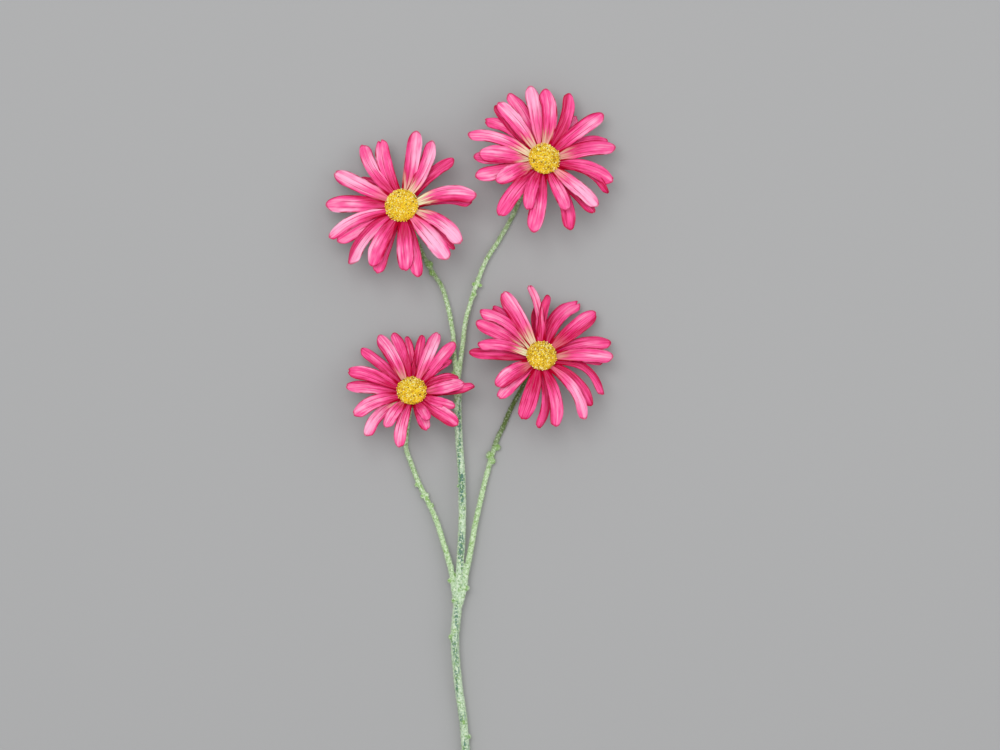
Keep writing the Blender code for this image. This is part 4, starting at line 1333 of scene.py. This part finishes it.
def stem_material(settings):
    """Pale green flock, mottled with greener and dark blue-green patches, olive by the heads, with
    a painted whitish sheen at its sides.
    """
    graph = Graph("stem_flock", STEM_STEPS)
    place = graph.place()
    marks = graph.mark("stem_marks")
    close, dark, yellow = graph.node("ShaderNodeSeparateColor", {0: marks["Color"]}).outputs
    patch = graph.noise(place, scale=330.0, detail=3.0, roughness=0.6)
    pale = graph.mix(yellow, settings.pale, settings.yellow_green)
    color = graph.mix(graph.step(patch, "green_patches"), pale, settings.green)

    stretched = graph.node("ShaderNodeVectorMath", {0: place, 1: PATCH_STRETCH},
                           operation="MULTIPLY").outputs[0]
    shadow = graph.plus(dark, graph.step(graph.noise(stretched, scale=420.0), "dark_patches"))
    normal = graph.node("ShaderNodeNewGeometry").outputs["Normal"]
    upward = graph.node("ShaderNodeSeparateXYZ", {0: normal}).outputs[2]
    shadow = graph.times(graph.step(shadow, "dark"), graph.step(dark, "dark_runs"),
                         graph.step(upward, "dark_top"))
    color = graph.mix(shadow, color, settings.blue_green)

    near = graph.math("ADD", close, graph.step(patch, "olive_patches"), clamp=True)
    color = graph.mix(graph.times(near, close, OLIVE_STRENGTH), color, settings.olive)
    color = graph.mix(graph.times(marks["Alpha"], graph.step(patch, "knot")), color,
                      settings.green)

    dark_fleck = graph.noise(place, scale=1000.0, roughness=0.6)
    share = graph.times(graph.step(dark_fleck, "flecks"), graph.step(close, "dark_flecks_by_head"))
    color = graph.mix(share, color, settings.dark_green)
    shifted = graph.node("ShaderNodeVectorMath", {0: place, 1: PALE_FLECK_SHIFT},
                         operation="ADD").outputs[0]
    pale_fleck = graph.noise(shifted, scale=1100.0)
    share = graph.times(graph.step(pale_fleck, "flecks"), graph.step(close, "pale_flecks_by_head"))
    color = graph.mix(share, color, settings.whitish)
    # Painted sheen: the runs' sides, where the flock is seen edge-on, are painted whitish, less so
    # near the heads
    rim = graph.times(graph.step(upward, "rim"), graph.step(close, "sheen_rim_by_head"))
    color = graph.mix(rim, color, settings.whitish)
    graph.bump(graph.plus(dark_fleck, pale_fleck), 0.2 * MM, strength=0.7)
    return graph.finish(color, roughness=0.95, Specular_IOR_Level=0.08)


def flock_tree():
    """Short fibres spread over the stem, each leaning its own way."""
    tree = Tree("flock_fibres", {
        "Density": "Float", "Length": "Float", "Seed": "Int", "Material": "Material"})
    seed = tree.input("Seed")
    spread = tree.node("GeometryNodeDistributePointsOnFaces", {
        "Mesh": tree.input("Geometry"), "Density": tree.input("Density"), "Seed": seed})
    fibre = tree.node("GeometryNodeMeshCone", {
        "Vertices": 3, "Side Segments": 1, "Fill Segments": 1, **FIBRE_ENDS,
        "Depth": tree.input("Length")}, fill_type="NGON")
    fibres = tree.node("GeometryNodeInstanceOnPoints", {
        "Points": spread.outputs["Points"], "Instance": fibre.outputs[0],
        "Rotation": spread.outputs["Rotation"],
        "Scale": tree.draw(*FIBRE_SIZES, tree.plus(seed, 1.0))}).outputs[0]
    lean = tree.draw(opposite(FIBRE_LEAN), FIBRE_LEAN, tree.plus(seed, 2.0))
    leaning = tree.node("GeometryNodeRotateInstances", {
        "Instances": fibres, "Rotation": lean}).outputs[0]
    tree.close(leaning)
    return tree


class DAISY_OT_stem(bpy.types.Operator):
    """Make the forked stem with its knots and its flocked coat"""

    bl_idname = "daisy.stem"
    bl_label = "Stem"

    def execute(self, context):
        settings = context.scene.daisy_stem
        runs = stem_runs()
        material = stem_material(settings)
        skin = stem_body(runs, settings)
        flock_lumps(skin, settings)
        mark_runs(skin, runs)
        fibres = flock_tree().run(skin.copy(), {
            "Density": settings.fibre_density, "Length": settings.fibre_length,
            "Seed": FIBRE_SEED, "Material": material})
        for vert in fibres.vertices:
            vert.co.z = max(vert.co.z, 0.0)
        mark_runs(fibres, runs)
        skin_piece = add_piece("flocked_stem", skin, material)
        fibre_piece = add_piece("stem_fibres", fibres)
        for piece in (skin_piece, fibre_piece):
            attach(piece, "root")
        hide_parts("stem")
        return {"FINISHED"}


# Stage

# The view straight down, in metres: the camera's height, the width of floor that the picture
# shows and the point in its middle. The sensor's width is in millimetres
CAMERA_HEIGHT = 1.5
VIEW_WIDTH = 0.45
CAMERA_PLACE = (0.0133, 0.0699)
SENSOR_WIDTH = 36.0
CLIP_START = 0.01

# Lights, in metres: place, width and share of the key light's power
LIGHTS = {
    "key": ((-0.26, 0.46, 1.60), 1.1, 1.0),
    "side": ((0.95, 0.15, 0.95), 1.0, 0.2),
}
FILL_COLOR = (0.97, 0.98, 1.0, 1.0)

# The floor: its size in metres, the smooth step of its clouds, and the share of each channel of
# its colour that is left in the darkest of them
FLOOR_SIZE = 4.0
FLOOR_STEPS = {"clouds": (0.3, 0.7, 0.0, 0.06)}
FLOOR_SHADE = (0.9, 0.9, 0.9)


def add_light(name, place, size, power, target):
    """A square area light that faces the target."""
    data = bpy.data.lights.new(name, "AREA")
    data.energy = power
    data.size = size
    light = bpy.data.objects.new(name, data)
    light.location = place
    light.rotation_euler = (Vector(target) - Vector(place)).to_track_quat("-Z", "Y").to_euler()
    bpy.context.scene.collection.objects.link(light)


def floor_material(settings):
    """Pale grey paint, very slightly cloudy."""
    graph = Graph("floor_paint", FLOOR_STEPS)
    clouds = graph.step(graph.noise(graph.place(), scale=3.0), "clouds")
    color = graph.mix(clouds, settings.floor, shaded(settings.floor, FLOOR_SHADE))
    return graph.finish(color, roughness=0.9, Specular_IOR_Level=0.1)


class DAISY_OT_stage(bpy.types.Operator):
    """Set the pale floor, the soft light and the camera that looks straight down"""

    bl_idname = "daisy.stage"
    bl_label = "Stage"

    def execute(self, context):
        settings = context.scene.daisy_stage
        bm = bmesh.new()
        bmesh.ops.create_grid(bm, x_segments=1, y_segments=1, size=FLOOR_SIZE)
        floor = add_piece("floor", mesh_from(bm, "floor"), floor_material(settings))
        for name, (place, size, share) in LIGHTS.items():
            add_light(name, place, size, settings.key_power * share, (*CAMERA_PLACE, 0.0))
        world = bpy.data.worlds.new("soft_light")
        world.use_nodes = True
        background = world.node_tree.nodes["Background"]
        background.inputs["Color"].default_value = FILL_COLOR
        background.inputs["Strength"].default_value = settings.fill
        context.scene.world = world
        data = bpy.data.cameras.new("camera")
        data.sensor_width = SENSOR_WIDTH
        data.lens = SENSOR_WIDTH * CAMERA_HEIGHT / VIEW_WIDTH
        data.clip_start = CLIP_START
        camera = bpy.data.objects.new("camera", data)
        camera.location = (*CAMERA_PLACE, CAMERA_HEIGHT)
        context.scene.collection.objects.link(camera)
        context.scene.camera = camera
        context.scene.view_settings.view_transform = "Standard"
        return {"FINISHED"}


class DAISY_PT_panel(bpy.types.Panel):
    """Lists the spray's pieces in the sidebar"""

    bl_idname = "DAISY_PT_panel"
    bl_label = "Daisy Spray"
    bl_space_type = "VIEW_3D"
    bl_region_type = "UI"
    bl_category = "Daisy Spray"

    def draw(self, context):
        for operator in OPERATORS:
            self.layout.operator(operator.bl_idname)
        for name, group in SETTINGS.items():
            box = self.layout.box()
            for setting in group.__annotations__:
                box.prop(getattr(context.scene, name), setting)


SETTINGS = {
    "daisy_petals": DaisyPetalSettings,
    "daisy_discs": DaisyDiscSettings,
    "daisy_stem": DaisyStemSettings,
    "daisy_stage": DaisyStageSettings,
}
OPERATORS = (DAISY_OT_stage, DAISY_OT_stem, DAISY_OT_calyces, DAISY_OT_petals, DAISY_OT_discs)


def register():
    """Add the settings, the operators and the panel to Blender."""
    for group in SETTINGS.values():
        bpy.utils.register_class(group)
    for name, group in SETTINGS.items():
        setattr(bpy.types.Scene, name, bpy.props.PointerProperty(type=group))
    for operator in OPERATORS:
        bpy.utils.register_class(operator)
    bpy.utils.register_class(DAISY_PT_panel)


def unregister():
    """Take the panel, the operators and the settings out again."""
    bpy.utils.unregister_class(DAISY_PT_panel)
    for operator in reversed(OPERATORS):
        bpy.utils.unregister_class(operator)
    for name in SETTINGS:
        delattr(bpy.types.Scene, name)
    for group in reversed(SETTINGS.values()):
        bpy.utils.unregister_class(group)


def main():
    """Make every piece in order."""
    register()
    bpy.ops.daisy.stage()
    bpy.ops.daisy.stem()
    bpy.ops.daisy.calyces()
    bpy.ops.daisy.petals()
    bpy.ops.daisy.discs()


if __name__ == "__main__":
    main()
